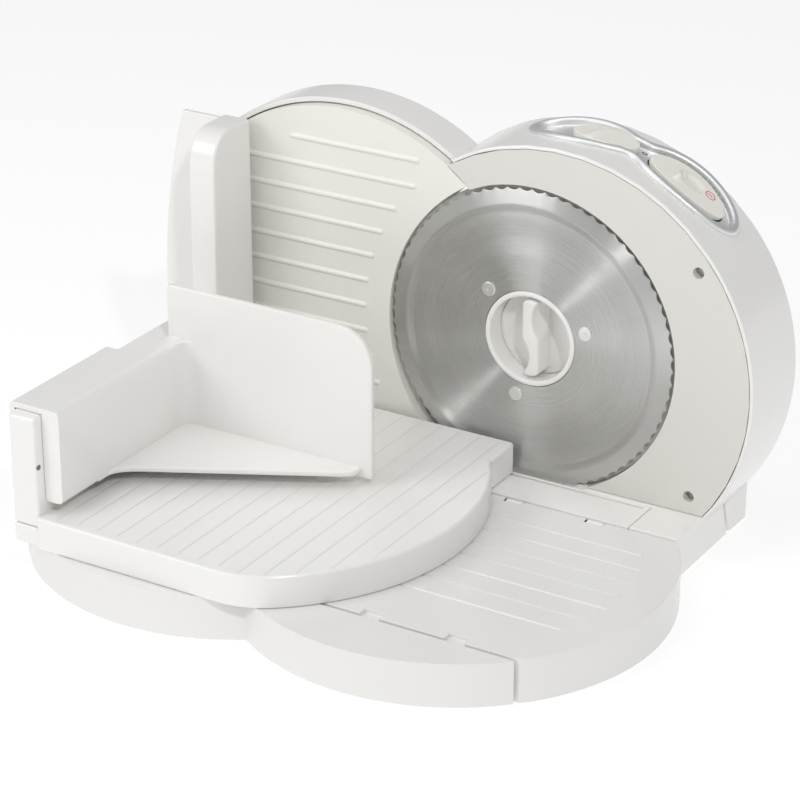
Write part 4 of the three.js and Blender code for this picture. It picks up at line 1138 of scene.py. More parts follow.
@dataclass
class BladeGroup:
    """Serrated blade on its hub, with the lock that holds it."""

    edge_r: float = 85.0
    scallops: int = 72
    scallop_deep: float = 1.5
    scallop_steps: int = 6
    rim_r: float = 82.8
    rim_in: float = 1.1
    edge_in: float = 1.4
    band_r: float = 76.5
    dish_r: float = 71.0
    dish_in: float = 1.3
    step_start: float = 45.0
    step_end: float = 56.0
    step: float = 0.6
    centre_in: float = 1.8
    thick: float = 2.4
    profile_mm: float = 0.8
    hub_r: float = 27.0
    hub_wall: float = 3.0
    hub_out: float = 1.0
    hub_floor: float = 19.0
    hub_round: float = 2.0
    hub_lip: float = 1.4
    flange_r: float = 40.0
    flange_thick: float = 2.0
    sleeve_r: float = 16.0
    sleeve_back: float = 38.5
    spindle_r: float = 5.4
    stem_r: float = 7.5
    rivets: int = 3
    rivet_orbit: float = 34.5
    rivet_turn: float = 17.0
    rivet_r: float = 4.0
    rivet_out: float = 0.8
    rivet_round: float = 0.7
    rivet_steps: int = 32
    dimple_r: float = 0.6
    dimple_rim: float = 1.2
    dimple_deep: float = 0.2
    dimple_round: float = 0.3
    lock_thick: float = 2.5
    lock_lip: float = 3.0
    lock_wall: float = 0.4
    grip_half: float = 22.0
    grip_wide: float = 5.0
    grip_end: float = 3.0
    grip_sink: float = 1.0
    grip_root: float = 0.5
    grip_rounding: Pairs = ((1.3, 0.0), (0.7, 0.25), (0.3, 0.7), (0.0, 1.4))
    grip_rows: int = 6
    grip_points: int = 120
    scoop_r: float = 16.0
    scoop_out: float = 16.8
    scoop_up: float = 11.0
    scoop_sink: float = 2.0

    def build(self) -> None:
        """Build the turning pieces."""
        show("serrated_blade", self.blade(), BLADE_STEEL, "blade", ["blade"])
        show("hub_cup", self.hub(), WHITE_ABS, "blade", ["blade_hub"])
        show("lock_with_grip", self.lock(), WHITE_ABS, "lock", ["blade_lock"])
        for i, node in enumerate(numbered("blade_rivet", self.rivets)):
            turn = math.radians(self.rivet_turn + 360 * i / self.rivets)
            x = PLAN.blade_x + self.rivet_orbit * math.cos(turn)
            z = PLAN.blade_z + self.rivet_orbit * math.sin(turn)
            show(f"domed_{node}", self.rivet(x, z), RIVET_ALUMINIUM, "blade", [node])
        dress(["blade_gear"], GREY_NYLON)

    def blade(self) -> Shape:
        """Turn the stepped blade, then pull its rim into scallops and lay the brushing round it.

        Returns:
            The blade, with radius and turn as its UV map.
        """
        bore = self.hub_r + PLAN.seat
        back = self.centre_in + self.thick
        reach = self.band_r - self.step_start
        count = math.ceil(reach / self.profile_mm)
        radii = [self.step_start + reach * i / count for i in range(count + 1)]
        profile = [
            (bore, self.centre_in),
            *((r, self.face_at(r)) for r in radii),
            (self.rim_r, self.rim_in),
            (self.edge_r, self.edge_in),
            (self.edge_r, self.edge_in + PLAN.seat),
            (self.band_r, self.edge_in * 2),
            (self.step_end, back),
            (bore, back),
        ]
        steps = self.scallops * self.scallop_steps
        shape = Shape().turned(profile, PLAN.blade_x, PLAN.blade_z, steps)
        centre = at(PLAN.blade_x, 0.0, PLAN.blade_z)
        for vert in shape.mesh.verts:
            away = vert.co - centre
            radius = math.hypot(away.x, away.z)
            if radius > (self.edge_r - PLAN.seat) * MM:
                turn = math.atan2(away.z, away.x)
                bite = self.scallop_deep * MM * abs(math.sin(turn * self.scallops / 2))
                vert.co.x -= away.x / radius * bite
                vert.co.z -= away.z / radius * bite
        layer = shape.mesh.loops.layers.uv.new(BLADE_UV)
        for face in shape.mesh.faces:
            middle = face.calc_center_median() - centre
            ahead = math.atan2(middle.z, middle.x)
            for loop in face.loops:
                away = loop.vert.co - centre
                turn = math.remainder(math.atan2(away.z, away.x) - ahead, math.tau) + ahead
                loop[layer].uv = (math.hypot(away.x, away.z) / (self.edge_r * MM), turn / math.tau)
        return shape

    def face_at(self, r: float) -> float:
        """Depth of the blade's pressed face: it steps back, then rises to the ground band.

        Args:
            r: Distance from the blade's axis.

        Returns:
            The depth behind the blade plane.
        """
        low = self.centre_in + self.step
        depth = self.centre_in + self.step * smooth_step(r, self.step_start, self.step_end)
        depth -= (low - self.dish_in) * smooth_step(r, self.step_end, self.dish_r)
        return depth - self.dish_in * smooth_step(r, self.dish_r, self.band_r)

    def hub(self) -> Shape:
        """Turn the deep cup with its flange and sleeve.

        Returns:
            The hub.
        """
        front = self.centre_in - self.hub_out
        flange = self.centre_in + self.thick + PLAN.seat
        behind = flange + self.flange_thick
        back = self.hub_floor + self.hub_wall
        inner = self.hub_r - self.hub_wall
        stem = self.stem_r + PLAN.seat
        cup = (stem, self.hub_floor, inner, front, self.hub_r, flange)
        rim = (self.flange_r, behind, self.hub_r, back)
        sleeve = (self.sleeve_r, self.sleeve_back, self.spindle_r, back + self.hub_wall, stem)
        radii = [0.0, self.hub_round, self.hub_lip, self.hub_lip]
        outline = eased(stairs(*cup, *rim, *sleeve), radii)
        return Shape().turned(outline, PLAN.blade_x, PLAN.blade_z)

    def rivet(self, x: float, z: float) -> Shape:
        """Turn one rivet with a flat dome and a small dimple.

        Args:
            x: Its axis along the blade face.
            z: Its axis above the floor.

        Returns:
            The rivet.
        """
        front = self.centre_in - self.rivet_out
        behind = self.centre_in + self.thick + self.flange_thick
        dip, stem = front + self.dimple_deep, self.rivet_r / 2
        corners = [(0.0, dip), (self.dimple_r, dip)]
        corners += stairs(self.dimple_rim, front, self.rivet_r, self.centre_in, stem, behind, 0.0)
        radii = [0.0, self.dimple_round, self.dimple_round, self.rivet_round]
        return Shape().turned(eased(corners, radii), x, z, self.rivet_steps)

    def lock(self) -> Shape:
        """Make the dished disc with a bar to turn it by, scooped for a finger on each side.

        Returns:
            The lock.
        """
        back = self.hub_floor - PLAN.seat
        floor = back - self.lock_thick
        outer = self.hub_r - self.hub_wall - PLAN.seat
        lip = floor - self.lock_lip
        wall, end = outer - self.lock_wall, back + self.hub_wall
        corners = stairs(0.0, floor, wall, lip, outer, back, self.stem_r, end, 0.0)
        outline = eased(corners, [0.0, self.lock_lip])
        disc = Shape().turned(outline, PLAN.blade_x, PLAN.blade_z)
        crest = self.centre_in - self.hub_out + self.grip_sink
        sections = [(crest + rise, inset) for inset, rise in self.grip_rounding]
        start = sections[-1][0]
        row = (floor + self.grip_root - start) / self.grip_rows
        sections += [(start + row * i, 0.0) for i in range(1, self.grip_rows + 1)]
        return disc.add(Shape().lofted([self.grip_loop(y, inset, crest) for y, inset in sections]))

    def grip_loop(self, y: float, inset: float, crest: float) -> list[Vector]:
        """Section of the grip at one depth.

        Args:
            y: Depth of the section.
            inset: How far the section is drawn in.
            crest: Depth of the grip's front.

        Returns:
            The points in the shared frame.
        """
        reach = self.grip_half - inset
        deep = y - crest - self.scoop_sink
        bite = math.sqrt(max(self.scoop_r**2 - deep**2, 0.0))

        def right(v: float) -> float:
            """Work out the reach of the right side.

            Args:
                v: Height over the axis.

            Returns:
                The reach.
            """
            past = max(0.0, (abs(v) - reach + self.grip_end) / self.grip_end)
            wide = (self.grip_wide - inset) * math.sqrt(max(0.0, 1.0 - past**2))
            off = abs(v - self.scoop_up)
            if off < bite:
                wide = min(wide, self.scoop_out - half_chord(bite, off) - inset)
            return wide

        loop = []
        for turn in turns(self.grip_points):
            v = reach * math.cos(turn)
            u = right(v) if math.sin(turn) > 0 else -right(-v)
            loop.append(at(PLAN.blade_x + u, y, PLAN.blade_z + v))
        return loop


@dataclass
class Drive:
    """Motor, worm and their carrier inside the housing."""

    def build(self) -> None:
        """Dress the inner pieces."""
        dress(["drive_frame"], GREY_NYLON)
        dress(["motor_can", "motor_rotor", "spindle"], PLAIN_STEEL)


@dataclass
class ThicknessGauge:
    """Ribbed gauge plate with its rods and the dial that moves it."""

    lip: float = 0.9
    low: float = 27.0
    thick: float = 2.5
    deep: float = 9.0
    edge: float = 0.9
    ribs: int = 10
    rib_low: float = 56.7
    rib_pitch: float = 15.0
    rib_r: float = 2.0
    rib_out: float = 1.1
    rib_inset: float = 14.0
    rib_margin: float = 8.0
    rib_steps: int = 6
    rib_points: int = 24
    rod_rise: float = 52.0
    socket_bore: float = 4.3
    socket_r: float = 7.0
    socket_front: float = 2.0
    socket_back: float = 8.7
    socket_steps: int = 32
    dial_edge: float = 0.5

    def build(self) -> None:
        """Build the gauge's pieces."""
        # The gauge plate wears the paler, lit copy of the cream: painted light.
        show("ribbed_gauge_plate", self.plate(), LIT_CREAM_ABS, "gauge", ["gauge_plate"])
        moulded("thickness_dial", WHITE_ABS, "dial", self.dial_edge)
        dress(numbered("gauge_rod", 2) + ["cam_follower"], PLAIN_STEEL)

    def plate(self) -> Shape:
        """Make the round plate with a bay for the blade, a rim behind it, ribs and rod sockets.

        Returns:
            The plate.
        """
        disc = (-PLAN.disc_x, PLAN.disc_z, PLAN.disc_r + self.lip)
        bay = PLAN.exit
        tip = crossing(disc, bay)
        bay_low, disc_low = (
            (x - half_chord(r, self.low - z), self.low) for x, z, r in (bay, disc)
        )
        outline = arc(*bay, bearing(bay[:2], bay_low) + 360, bearing(bay[:2], tip))
        outline += arc(*disc, bearing(disc[:2], tip), bearing(disc[:2], disc_low) + 360)[1:]
        shape = Shape().raised(Lie.UPRIGHT, outline, 0.0, self.deep)
        shape.hollowed(Lie.UPRIGHT, self.deep, self.thick, self.thick)
        shape.rounded(self.edge)
        for i in range(self.ribs):
            z = self.rib_low + i * self.rib_pitch
            rise = z - PLAN.disc_z
            far = half_chord(PLAN.disc_r - self.rib_inset, rise)
            near = half_chord(bay[2] + self.rib_inset, z - bay[1])
            end = half_chord(PLAN.disc_r - self.rib_margin, rise)
            shape.add(self.rib(-PLAN.disc_x - far, min(bay[0] - near, end - PLAN.disc_x), z))
        bore = self.socket_bore
        socket = stairs(bore, self.socket_front, self.socket_r, self.socket_back, bore)
        for rise in (-self.rod_rise, self.rod_rise):
            z = PLAN.disc_z + rise
            shape.add(Shape().turned(socket, -PLAN.disc_x, z, self.socket_steps))
        return shape

    def rib(self, left: float, right: float, z: float) -> Shape:
        """One half-round rib with rounded ends, sunk into the plate.

        Args:
            left: Its left end.
            right: Its right end.
            z: Its height.

        Returns:
            The rib.
        """
        quarter = [math.pi / 2 * i / self.rib_steps for i in range(1, self.rib_steps + 1)]
        ends = [(self.rib_r * (1 - math.cos(t)), self.rib_r * math.sin(t)) for t in quarter]
        stations = [(left + out, r) for out, r in ends]
        stations += [(right - out, r) for out, r in reversed(ends)]
        y = self.rib_r - self.rib_out
        ring = turns(self.rib_points)
        loops = [
            [at(x, y + r * math.cos(t), z + r * math.sin(t)) for t in ring] for x, r in stations
        ]
        return Shape().lofted(loops)


@dataclass
class SwitchPanel:
    """Silver panel on the rim with the safety slider and the power button.

    Places along the rim are measured from the panel's middle. A lobe is a place on the rim, a half
    length and a half width.
    """

    angle: float = 75.0
    middle: float = 32.5
    left_lobe: Spot = (-29.0, 31.0, 18.0)
    right_lobe: Spot = (33.0, 33.0, 20.0)
    waist: float = 11.5
    blend: float = 7.0
    outline_points: int = 160
    floor: float = -2.0
    floor_thick: float = 0.5
    floor_step: float = 0.08
    floor_points: int = 120
    rise: float = 2.2
    lip: float = 4.4
    lip_step: int = 15
    lip_end: int = 165
    wall_in: float = 4.5
    wall_top: float = -0.6
    wall_draft: float = 0.1
    foot_in: float = 5.0
    foot_rise: float = 0.5
    gap_long: float = 0.66
    gap_wide: float = 0.4
    slider_lobe: Spot = (-17.0, 18.8, 10.5)
    slider_out: float = 1.4
    ridge_at: float = -4.5
    ridge_skew: float = 0.25
    ridge_long: float = 2.4
    ridge_out: float = 1.4
    button_lobe: Spot = (33.0, 23.5, 12.5)
    button_out: float = 1.0
    nose_at: float = -5.0
    nose_y: float = -1.0
    nose_long: float = 1.4
    nose_wide: float = 5.5
    nose_out: float = 2.6
    dish_at: float = 2.0
    dish_y: float = 1.5
    dish_long: float = 6.0
    dish_wide: float = 5.0
    dish_deep: float = 1.3
    cap_clear: float = 0.4
    cap_edge: Pairs = ((1.0, -0.8), (0.985, -0.25), (0.96, 0.0))
    cap_step: float = 0.05
    cap_rings: int = 18
    cap_points: int = 96
    print_out: float = 0.05
    print_thick: float = 0.2
    ring_at: float = 45.0
    ring_y: float = 36.5
    ring_r: float = 2.9
    ring_hole: float = 0.82
    bar_long: float = 0.55
    bar_wide: float = 0.2
    mark_at: float = 4.5
    mark_y: float = 35.5
    mark_r: float = 1.7
    mark_hole: float = 1.0
    mark_wide: float = 0.7

    def build(self) -> None:
        """Build the panel's pieces."""
        show("silver_bezel", self.bezel(), SILVER_PLATING, "frame", ["switch_bezel"])
        slider = self.cap(self.slider_lobe, self.slider_top)
        # Slider and power plate wear the brighter copy of the white plastic: painted light over a
        # warmer tint.
        show("leaf_slider", slider, LIT_IVORY_ABS, "safety", ["safety_slider"])
        plate = self.cap(self.button_lobe, self.button_top)
        show("power_plate", plate, LIT_IVORY_ABS, "power", ["power_button"])
        show("power_mark", self.power_mark(), RED_INK, "power")
        radii = (self.mark_r, self.mark_hole)
        out = self.floor + self.print_out
        mark = self.printed_ring(self.mark_at, self.mark_y, radii, out, self.mark_wide)
        show("waist_mark", mark, GREY_INK, "frame")
        dress(["safety_switch", "power_switch"], GREY_NYLON)

    def rim(self, u: float, y: float, out: float) -> Vector:
        """Place a point on the rim.

        Args:
            u: Way along the rim.
            y: Depth.
            out: Height over the rim.

        Returns:
            The point in the shared frame.
        """
        turn = math.radians(self.angle) - math.asin(u / PLAN.shell_r)
        r = PLAN.shell_r + out
        return at(PLAN.disc_x + r * math.cos(turn), y, PLAN.disc_z + r * math.sin(turn))

    def half_width(self, u: float, inset: float) -> float:
        """Half width of the panel's outline: two ovals and a waist, blended.

        Args:
            u: Way along the rim.
            inset: How far the outline is drawn in.

        Returns:
            The half width.
        """
        parts = []
        for middle, long, wide in (self.left_lobe, self.right_lobe):
            share = 1.0 - ((u - middle) / (long - inset)) ** 2
            parts.append((wide - inset) * math.sqrt(max(share, 0.0)))
        if self.left_lobe[0] < u < self.right_lobe[0]:
            parts.append(self.waist - inset)
        return sum(part**self.blend for part in parts) ** (1.0 / self.blend)

    def stretch(
        self, start: float, end: float, inset: float, out: float, count: int
    ) -> list[Vector]:
        """Loop of a stretch of the panel's outline.

        Args:
            start: Where it starts along the rim.
            end: Where it ends.
            inset: How far it is drawn in.
            out: Height over the rim.
            count: Points of the loop.

        Returns:
            The points in the shared frame.
        """
        loop = []
        for turn in turns(count):
            u = (start + end) / 2 + (end - start) / 2 * math.cos(turn)
            across = math.copysign(self.half_width(u, inset), math.sin(turn))
            loop.append(self.rim(u, self.middle + across, out))
        return loop

    def outline_loop(self, inset: float, out: float) -> list[Vector]:
        """Loop of the panel's whole outline.

        Args:
            inset: How far it is drawn in.
            out: Height over the rim.

        Returns:
            The points in the shared frame.
        """
        start = self.left_lobe[0] - self.left_lobe[1] + inset
        end = self.right_lobe[0] + self.right_lobe[1] - inset
        return self.stretch(start, end, inset, out, self.outline_points)

    def oval(
        self, u: float, y: float, r: float, out: float, share: float, count: int = 48
    ) -> list[Vector]:
        """Loop round a spot on the rim.

        Args:
            u: Middle along the rim.
            y: Middle across it.
            r: Half length.
            out: Height over the rim.
            share: Half width as a share of the half length.
            count: Points of the loop.

        Returns:
            The points in the shared frame.
        """
        ring = turns(count)
        return [self.rim(u + r * math.cos(t), y + r * share * math.sin(t), out) for t in ring]

    def bezel(self) -> Shape:
        """Make the rounded lip all round a sunk floor that is open under the power plate.

        Returns:
            The bezel.
        """
        low = self.floor - PLAN.seat
        sections = [(PLAN.seat, low)]
        for angle in range(0, self.lip_end + 1, self.lip_step):
            turn = math.radians(angle)
            inset = self.lip / 2 * (1 - math.cos(turn))
            sections.append((inset, PLAN.seat + (self.rise - PLAN.seat) * math.sin(turn)))
        sections += [
            (self.wall_in, self.wall_top),
            (self.wall_in + self.wall_draft, self.floor + self.foot_rise),
            (self.foot_in, self.floor),
            (self.foot_in, low),
        ]
        loops = [self.outline_loop(inset, out) for inset, out in sections]
        shape = Shape().lofted(loops, ring=True)
        return shape.add(self.left_floor()).add(self.right_floor())

    def left_floor(self) -> Shape:
        """Make the floor of the left lobe and the waist.

        Returns:
            The floor.
        """
        start = self.left_lobe[0] - self.left_lobe[1] + self.lip
        end = self.button_lobe[0] - self.button_lobe[1] - 2 * self.gap_long
        heights = (self.floor - self.floor_thick, self.floor)
        loops = [self.stretch(start, end, self.lip, out, self.floor_points) for out in heights]
        return Shape().lofted(loops)

    def right_floor(self) -> Shape:
        """Make the floor of the right lobe, a ring round the power plate's opening.

        Returns:
            The floor, a little lower than that of the left lobe.
        """
        at_u, long, wide = self.right_lobe
        outer = (long - self.lip, wide - self.lip)
        inner = (self.button_lobe[1] + self.gap_long, self.button_lobe[2] + self.gap_wide)
        top, low = self.floor - self.floor_step, self.floor - self.floor_thick
        sections = [(*outer, top), (*inner, top), (*inner, low), (*outer, low)]
        loops = [
            self.oval(at_u, self.middle, long, out, wide / long, self.floor_points)
            for long, wide, out in sections
        ]
        return Shape().lofted(loops, ring=True)

    def cap(self, lobe: Spot, top: Callable[[float, float], float]) -> Shape:
        """Make an oval button on the rim with a shaped top.

        Args:
            lobe: Its place along the rim, half length and half width.
            top: Height over the rim at a place along and across the oval.

        Returns:
            The button.
        """
        u, long, wide = lobe
        last = self.cap_edge[-1][0]
        rings = [(last - self.cap_step * i, 0.0) for i in range(1, self.cap_rings + 1)]
        low = self.floor + self.cap_clear
        loops = [self.oval(u, self.middle, long, low, wide / long, self.cap_points)]
        for share, drop in (*self.cap_edge, *rings):
            loop = []
            for turn in turns(self.cap_points):
                along, across = long * share * math.cos(turn), wide * share * math.sin(turn)
                loop.append(self.rim(u + along, self.middle + across, top(along, across) + drop))
            loops.append(loop)
        return Shape().lofted(loops)

    def slider_top(self, along: float, across: float) -> float:
        """Height of the leaf-shaped safety slider, with a ridge for the thumb.

        Args:
            along: Way along the rim from its middle.
            across: Way across.

        Returns:
            The height over the rim.
        """
        off = along - self.ridge_skew * across - self.ridge_at
        ridge = math.exp(-((off / self.ridge_long) ** 2))
        return self.slider_out + self.ridge_out * ridge * (1 - (across / self.slider_lobe[2]) ** 2)

    def button_top(self, along: float, across: float) -> float:
        """Height of the power plate, with a small nose and an oval dish beside it.

        Args:
            along: Way along the rim from its middle.
            across: Way across.

        Returns:
            The height over the rim.
        """
        ahead = (along - self.nose_at) / self.nose_long
        aside = (across - self.nose_y) / self.nose_wide
        nose = math.exp(-(ahead**2) - aside**4)
        ahead = (along - self.dish_at) / self.dish_long
        aside = (across - self.dish_y) / self.dish_wide
        dish = math.exp(-((ahead**2 + aside**2) ** 4))
        return self.button_out + self.nose_out * nose - self.dish_deep * dish

    def printed_ring(
        self, u: float, y: float, radii: tuple[float, float], out: float, share: float
    ) -> Shape:
        """Make a ring of printing ink.

        Args:
            u: Middle along the rim.
            y: Middle across it.
            radii: Outer and inner half length.
            out: Height of its top over the rim.
            share: Half width as a share of the half length.

        Returns:
            The ring.
        """
        outer, inner = radii
        low = out - self.print_thick
        sections = [(outer, out), (inner, out), (inner, low), (outer, low)]
        return Shape().lofted([self.oval(u, y, r, h, share) for r, h in sections], ring=True)

    def power_mark(self) -> Shape:
        """Make the printed ring with a bar in it.

        Returns:
            The mark.
        """
        out = self.button_out + self.print_out
        radii = (self.ring_r, self.ring_r * self.ring_hole)
        long = self.ring_r * self.bar_long
        heights = (out, out - self.print_thick)
        bar = [self.oval(self.ring_at, self.ring_y, long, h, self.bar_wide) for h in heights]
        ring = self.printed_ring(self.ring_at, self.ring_y, radii, out, 1.0)
        return ring.add(Shape().lofted(bar))


@dataclass
class FoldingBase:
    """Base that folds up in front of the housing."""

    edge: float = 0.4

    def build(self) -> None:
        """Build the base's pieces."""
        sides = (-PLAN.disc_x, PLAN.disc_x)
        lobes = [Round(Lie.LEVEL, x, PLAN.lobe_y, PLAN.disc_r) for x in sides]
        # Tray and front wear the greyer copy of the white plastic: painted shade.
        moulded("base_tray", SHADED_BASE_ABS, "base", self.edge, lobes)
        moulded("base_front", SHADED_BASE_ABS, "base", self.edge, lobes)
        dress(numbered("base_tie", 4), GREY_NYLON)
        dress(numbered("base_pad", 4), PAD_RUBBER)


@dataclass
class FoodCarriage:
    """Rail strip and the carriage that runs on it."""

    rail_edge: float = 0.4
    low: float = 25.5
    top: float = 43.0
    skin: float = 3.0
    left: float = -119.5
    right: float = 46.0
    front: float = -208.5
    back: float = -3.0
    arc_x: float = -56.7
    arc_r: float = 124.7
    round_r: float = 45.0
    pitch: float = 12.4
    first: float = 9.6
    margin: float = 8.0
    groove_wide: float = 1.8
    groove_deep: float = 0.5
    rim: float = 1.8
    rim_steps: int = 4
    ledge_top: float = 36.0
    ledge_edge: float = 1.2
    wall_left: float = -136.0
    wall_front: float = -207.0
    wall_back: float = -6.0
    wall_top: float = 98.5
    wall_edge: float = 1.6
    wall_round: float = 4.0
    guard_top: float = 199.0
    guard_front: float = -42.0
    guard_round: float = 22.0
    guard_back_round: float = 3.0
    guard_foot_round: float = 5.0
    round_steps: int = 8
    fence_left: float = -176.8
    fence_curve: float = 370.0
    fence_top: float = 197.0
    fence_edge: float = 0.8
    fence_step: float = 1.5
    pin_y: float = -205.0
    pin_z: float = 70.5
    pin_r: float = 1.5
    pin_step: float = 15.0
    pin_edge: float = 0.1
    guide_x: float = -115.0
    guide_ys: tuple[float, float] = (-5.5, -182.0)
    guide_long: float = 80.0
    guide_half: float = 0.5
    guide_deep: float = 4.0
    guide_edge: float = 0.2

    def build(self) -> None:
        """Build rail and carriage."""
        moulded("rail_strip", WHITE_ABS, "rail", self.rail_edge)
        show("grooved_carriage", self.plate(), WHITE_ABS, "carriage", ["carriage_plate"])
        show("carriage_side", self.side(), WHITE_ABS, "carriage", ["carriage_wall"])
        show("stop_pin", self.stop_pin(), GREY_NYLON, "carriage")

    def plate(self) -> Shape:
        """Make the grooved and hollow plate, the ledge that carries the wall and two guides.

        Returns:
            The plate.
        """
        turn_y = self.front + self.round_r
        turn_x = self.arc_x + half_chord(self.arc_r - self.round_r, turn_y - PLAN.lobe_y)
        turn = bearing((self.arc_x, PLAN.lobe_y), (turn_x, turn_y))
        last = math.degrees(math.acos((self.right - self.arc_x) / self.arc_r))
        outline = [(self.left, self.back), (self.left, self.front)]
        outline += arc(turn_x, turn_y, self.round_r, -90, turn)
        outline += arc(self.arc_x, PLAN.lobe_y, self.arc_r, turn, last)[1:]
        outline.append((self.right, self.back))
        shape = Shape().raised(Lie.LEVEL, outline, self.low, self.top)
        shape.rounded(self.rim, self.rim_steps, self.on_rim)
        shape.hollowed(Lie.LEVEL, self.low, self.skin, self.top - self.skin)
        count = int((self.arc_x + self.arc_r - self.left - self.first) // self.pitch)
        xs = [self.left + self.first + self.pitch * i for i in range(count)]
        shape.grooved(self.top, [self.groove(x, outline) for x in xs])
        inner = self.left + PLAN.bite
        ledge = stairs(self.wall_left, self.wall_front, inner, self.wall_back, self.wall_left)
        block = Shape().raised(Lie.LEVEL, ledge, self.low, self.ledge_top)
        shape.add(block.rounded(self.ledge_edge))
        low, high = PLAN.foot_top - self.guide_deep, self.top - PLAN.bite
        end = self.guide_x + self.guide_long
        for y in self.guide_ys:
            near, far = y - self.guide_half, y + self.guide_half
            guide = stairs(self.guide_x, near, end, far, self.guide_x)
            shape.add(Shape().raised(Lie.LEVEL, guide, low, high).rounded(self.guide_edge))
        return shape

    def on_rim(self, spot: Vector) -> bool:
        """Tell the edges of the plate's rim from those below and at the wall."""
        return spot.z > self.low + PLAN.bite and spot.x > self.left + ASIDE

    def groove(self, x: float, outline: Outline) -> Groove:
        """Lay a groove across the plate, up to the margin of the outline.

        Args:
            x: Its place along the plate.
            outline: Outline of the plate.

        Returns:
            The groove.
        """
        ys = []
        for (ax, ay), (bx, by) in zip(outline, outline[1:] + outline[:1]):
            if min(ax, bx) <= x < max(ax, bx):
                ys.append(ay + (by - ay) * (x - ax) / (bx - ax))
        start, end = min(ys) + self.margin, max(ys) - self.margin
        return Groove(1, x, start, end, self.groove_wide, self.groove_deep)

    def side(self) -> Shape:
        """Make the side wall with the hand guard, and the curved fence behind it.

        Returns:
            The side.
        """
        foot = self.ledge_top + PLAN.seat
        corners = [
            (self.wall_back, foot),
            (self.wall_back, self.guard_top),
            (self.guard_front, self.guard_top),
            (self.guard_front, self.wall_top),
            (self.wall_front, self.wall_top),
            (self.wall_front, foot),
        ]
        radii = [0.0, self.guard_back_round, self.guard_round, self.guard_foot_round]
        outline = eased(corners, [*radii, self.wall_round], self.round_steps)
        shape = Shape().raised(Lie.SIDEWAYS, outline, self.wall_left, self.left)
        shape.rounded(self.wall_edge)
        low, high = (
            180 - math.degrees(math.asin((z - PLAN.disc_z) / self.fence_curve))
            for z in (foot, self.fence_top)
        )
        middle = self.fence_left + self.fence_curve
        curve = arc(middle, PLAN.disc_z, self.fence_curve, low, high, self.fence_step)
        joint = self.wall_left + self.wall_edge
        fence = [*curve, (joint, self.fence_top), (joint, foot)]
        sheet = Shape().raised(Lie.UPRIGHT, fence, self.wall_back - self.skin, self.wall_back)
        return shape.add(sheet.rounded(self.fence_edge, where=lambda spot: spot.x < joint - ASIDE))

    def stop_pin(self) -> Shape:
        """Make the small pin in the wall that keeps the pusher from sliding off.

        Returns:
            The pin.
        """
        outline = arc(self.pin_y, self.pin_z, self.pin_r, 0, 360, self.pin_step)[:-1]
        start, end = self.left - PLAN.bite, self.left + PLAN.seat / 2
        return Shape().raised(Lie.SIDEWAYS, outline, start, end).rounded(self.pin_edge)


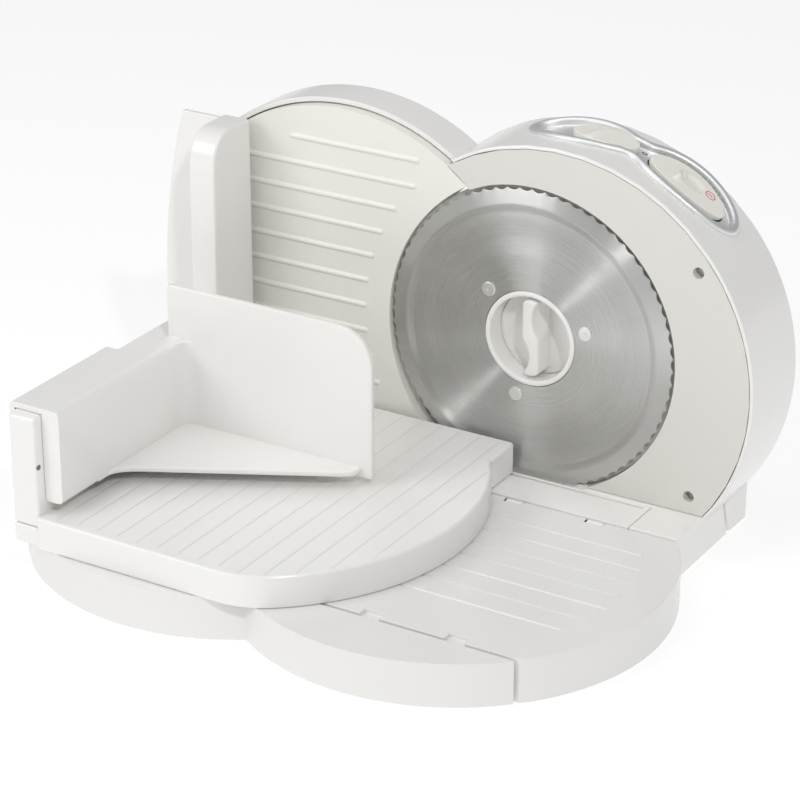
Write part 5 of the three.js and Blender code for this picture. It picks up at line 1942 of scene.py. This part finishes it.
@dataclass
class FoodPusher:
    """Pusher that presses the food against the gauge plate."""

    left: float = -139.5
    skin: float = 3.2
    box_left: float = -119.2
    box_right: float = -108.5
    front: float = -201.0
    saddle_back: float = -120.0
    saddle_low: float = 98.8
    saddle_edge: float = 1.6
    slot_round: float = 1.0
    top: float = 102.0
    top_round: float = 3.5
    flap: float = 60.0
    floor: float = 50.0
    floor_round: float = 3.0
    cheek_round: float = 1.5
    cheek_top_round: float = 2.0
    web_thick: float = 3.0
    web_front: float = -155.0
    web_root: float = 15.0
    web_back: float = -97.0
    web_right: float = 2.3
    web_bow: float = 14.0
    web_tip: float = 7.0
    web_edge: float = 1.0
    face_y: float = -86.5
    face_thick: float = 3.5
    face_low: float = 47.0
    face_top: float = 131.0
    face_right: float = 8.8
    face_round: float = 24.0
    face_low_round: float = 2.0
    face_left_round: float = 3.0
    face_edge: float = 1.2
    face_steps: int = 10
    web_steps: int = 8
    fillet: float = 8.0
    fillet_step: float = 10.0
    spike_rows: int = 3
    spike_columns: int = 5
    spike_pitch: float = 18.0
    spike_r: float = 1.5
    spike_tip: float = 0.2
    spike_long: float = 2.5
    spike_steps: int = 16

    def build(self) -> None:
        """Build the pusher."""
        shape = self.saddle().add(self.box()).add(self.face()).add(self.web()).add(self.corner())
        for row in range(self.spike_rows):
            for column in range(self.spike_columns):
                shape.add(self.spike(row, column))
        show("food_pusher", shape, WHITE_ABS, "pusher", ["pusher"])

    def saddle(self) -> Shape:
        """Make the saddle over the wall, with a flap down its outer side and the inner cheek.

        Returns:
            The saddle.
        """
        slot = (self.left, self.flap, self.left + self.skin, self.saddle_low)
        corners = stairs(*slot, self.box_left, self.floor, self.box_right, self.top, self.left)
        radii = [0.0, 0.0, self.slot_round, 0.0, self.cheek_round, self.floor_round]
        outline = eased(corners, [*radii, self.top_round, self.top_round])
        shape = Shape().raised(Lie.UPRIGHT, outline, self.front, self.saddle_back)
        return shape.rounded(self.saddle_edge, where=self.off_cheek)

    def off_cheek(self, spot: Vector) -> bool:
        """Tell the saddle's own edges from those where the cheek goes on."""
        return spot.y < self.saddle_back - PLAN.bite or spot.x < self.box_left - ASIDE

    def box(self) -> Shape:
        """Make the inner cheek, on from the saddle to the face.

        Returns:
            The cheek.
        """
        corners = stairs(self.box_left, self.floor, self.box_right, self.top, self.box_left)
        radii = [self.cheek_round, self.floor_round, self.top_round, self.cheek_top_round]
        back = self.face_y - self.face_thick + PLAN.bite
        return Shape().raised(Lie.UPRIGHT, eased(corners, radii), self.saddle_back, back)

    def face(self) -> Shape:
        """Make the face that presses on the food.

        Returns:
            The face.
        """
        left = self.box_left
        corners = stairs(left, self.face_low, self.face_right, self.face_top, left)
        radii = [0.0, self.face_low_round, self.face_round, self.face_left_round]
        outline = eased(corners, radii, self.face_steps)
        front = self.face_y - self.face_thick
        return Shape().raised(Lie.UPRIGHT, outline, front, self.face_y).rounded(self.face_edge)

    def web(self) -> Shape:
        """Make the floor of the hand space, drawn in towards the front.

        Returns:
            The floor.
        """
        back = self.face_y - self.face_thick + PLAN.bite
        start = self.web_front - self.web_root
        corners = [
            (self.box_left + PLAN.bite, back),
            (self.box_left + PLAN.bite, start),
            (self.box_right, start),
            (self.box_right, self.web_front),
            (self.web_right, self.web_back),
            (self.web_right, back),
        ]
        outline = eased(corners, [0.0, 0.0, 0.0, self.web_bow, self.web_tip], self.web_steps)
        high = self.floor + self.web_thick
        return Shape().raised(Lie.LEVEL, outline, self.floor, high).rounded(self.web_edge)

    def corner(self) -> Shape:
        """Make the fillet between the cheek and the face.

        Returns:
            The fillet.
        """
        front = self.face_y - self.face_thick
        inner, behind = self.box_right - PLAN.bite, front + PLAN.bite
        middle = (self.box_right + self.fillet, front - self.fillet)
        outline = [(inner, behind), (inner, middle[1])]
        outline += arc(*middle, self.fillet, 180, 90, self.fillet_step)
        outline.append((middle[0], behind))
        low, high = self.floor + PLAN.bite, self.top - PLAN.bite
        return Shape().raised(Lie.LEVEL, outline, low, high)

    def spike(self, row: int, column: int) -> Shape:
        """Turn one of the spikes that hold the food.

        Args:
            row: Its row, from below.
            column: Its column, from the cheek.

        Returns:
            The spike.
        """
        x = self.box_right + self.spike_pitch * (column + 1)
        z = self.face_low + self.spike_pitch * (row + 1)
        root, tip = self.face_y - PLAN.bite, self.face_y + self.spike_long
        profile = [(0.0, root), (self.spike_r, root), (self.spike_tip, tip), (0.0, tip)]
        return Shape().turned(profile, x, z, self.spike_steps)


def main() -> None:
    """Build the scene."""
    logging.basicConfig(level=logging.INFO, format="%(message)s")
    assemblies = (
        Studio(),
        Housing(),
        BladeGroup(),
        Drive(),
        ThicknessGauge(),
        SwitchPanel(),
        FoldingBase(),
        FoodCarriage(),
        FoodPusher(),
    )
    for assembly in assemblies:
        assembly.build()


if __name__ == "__main__":
    main()
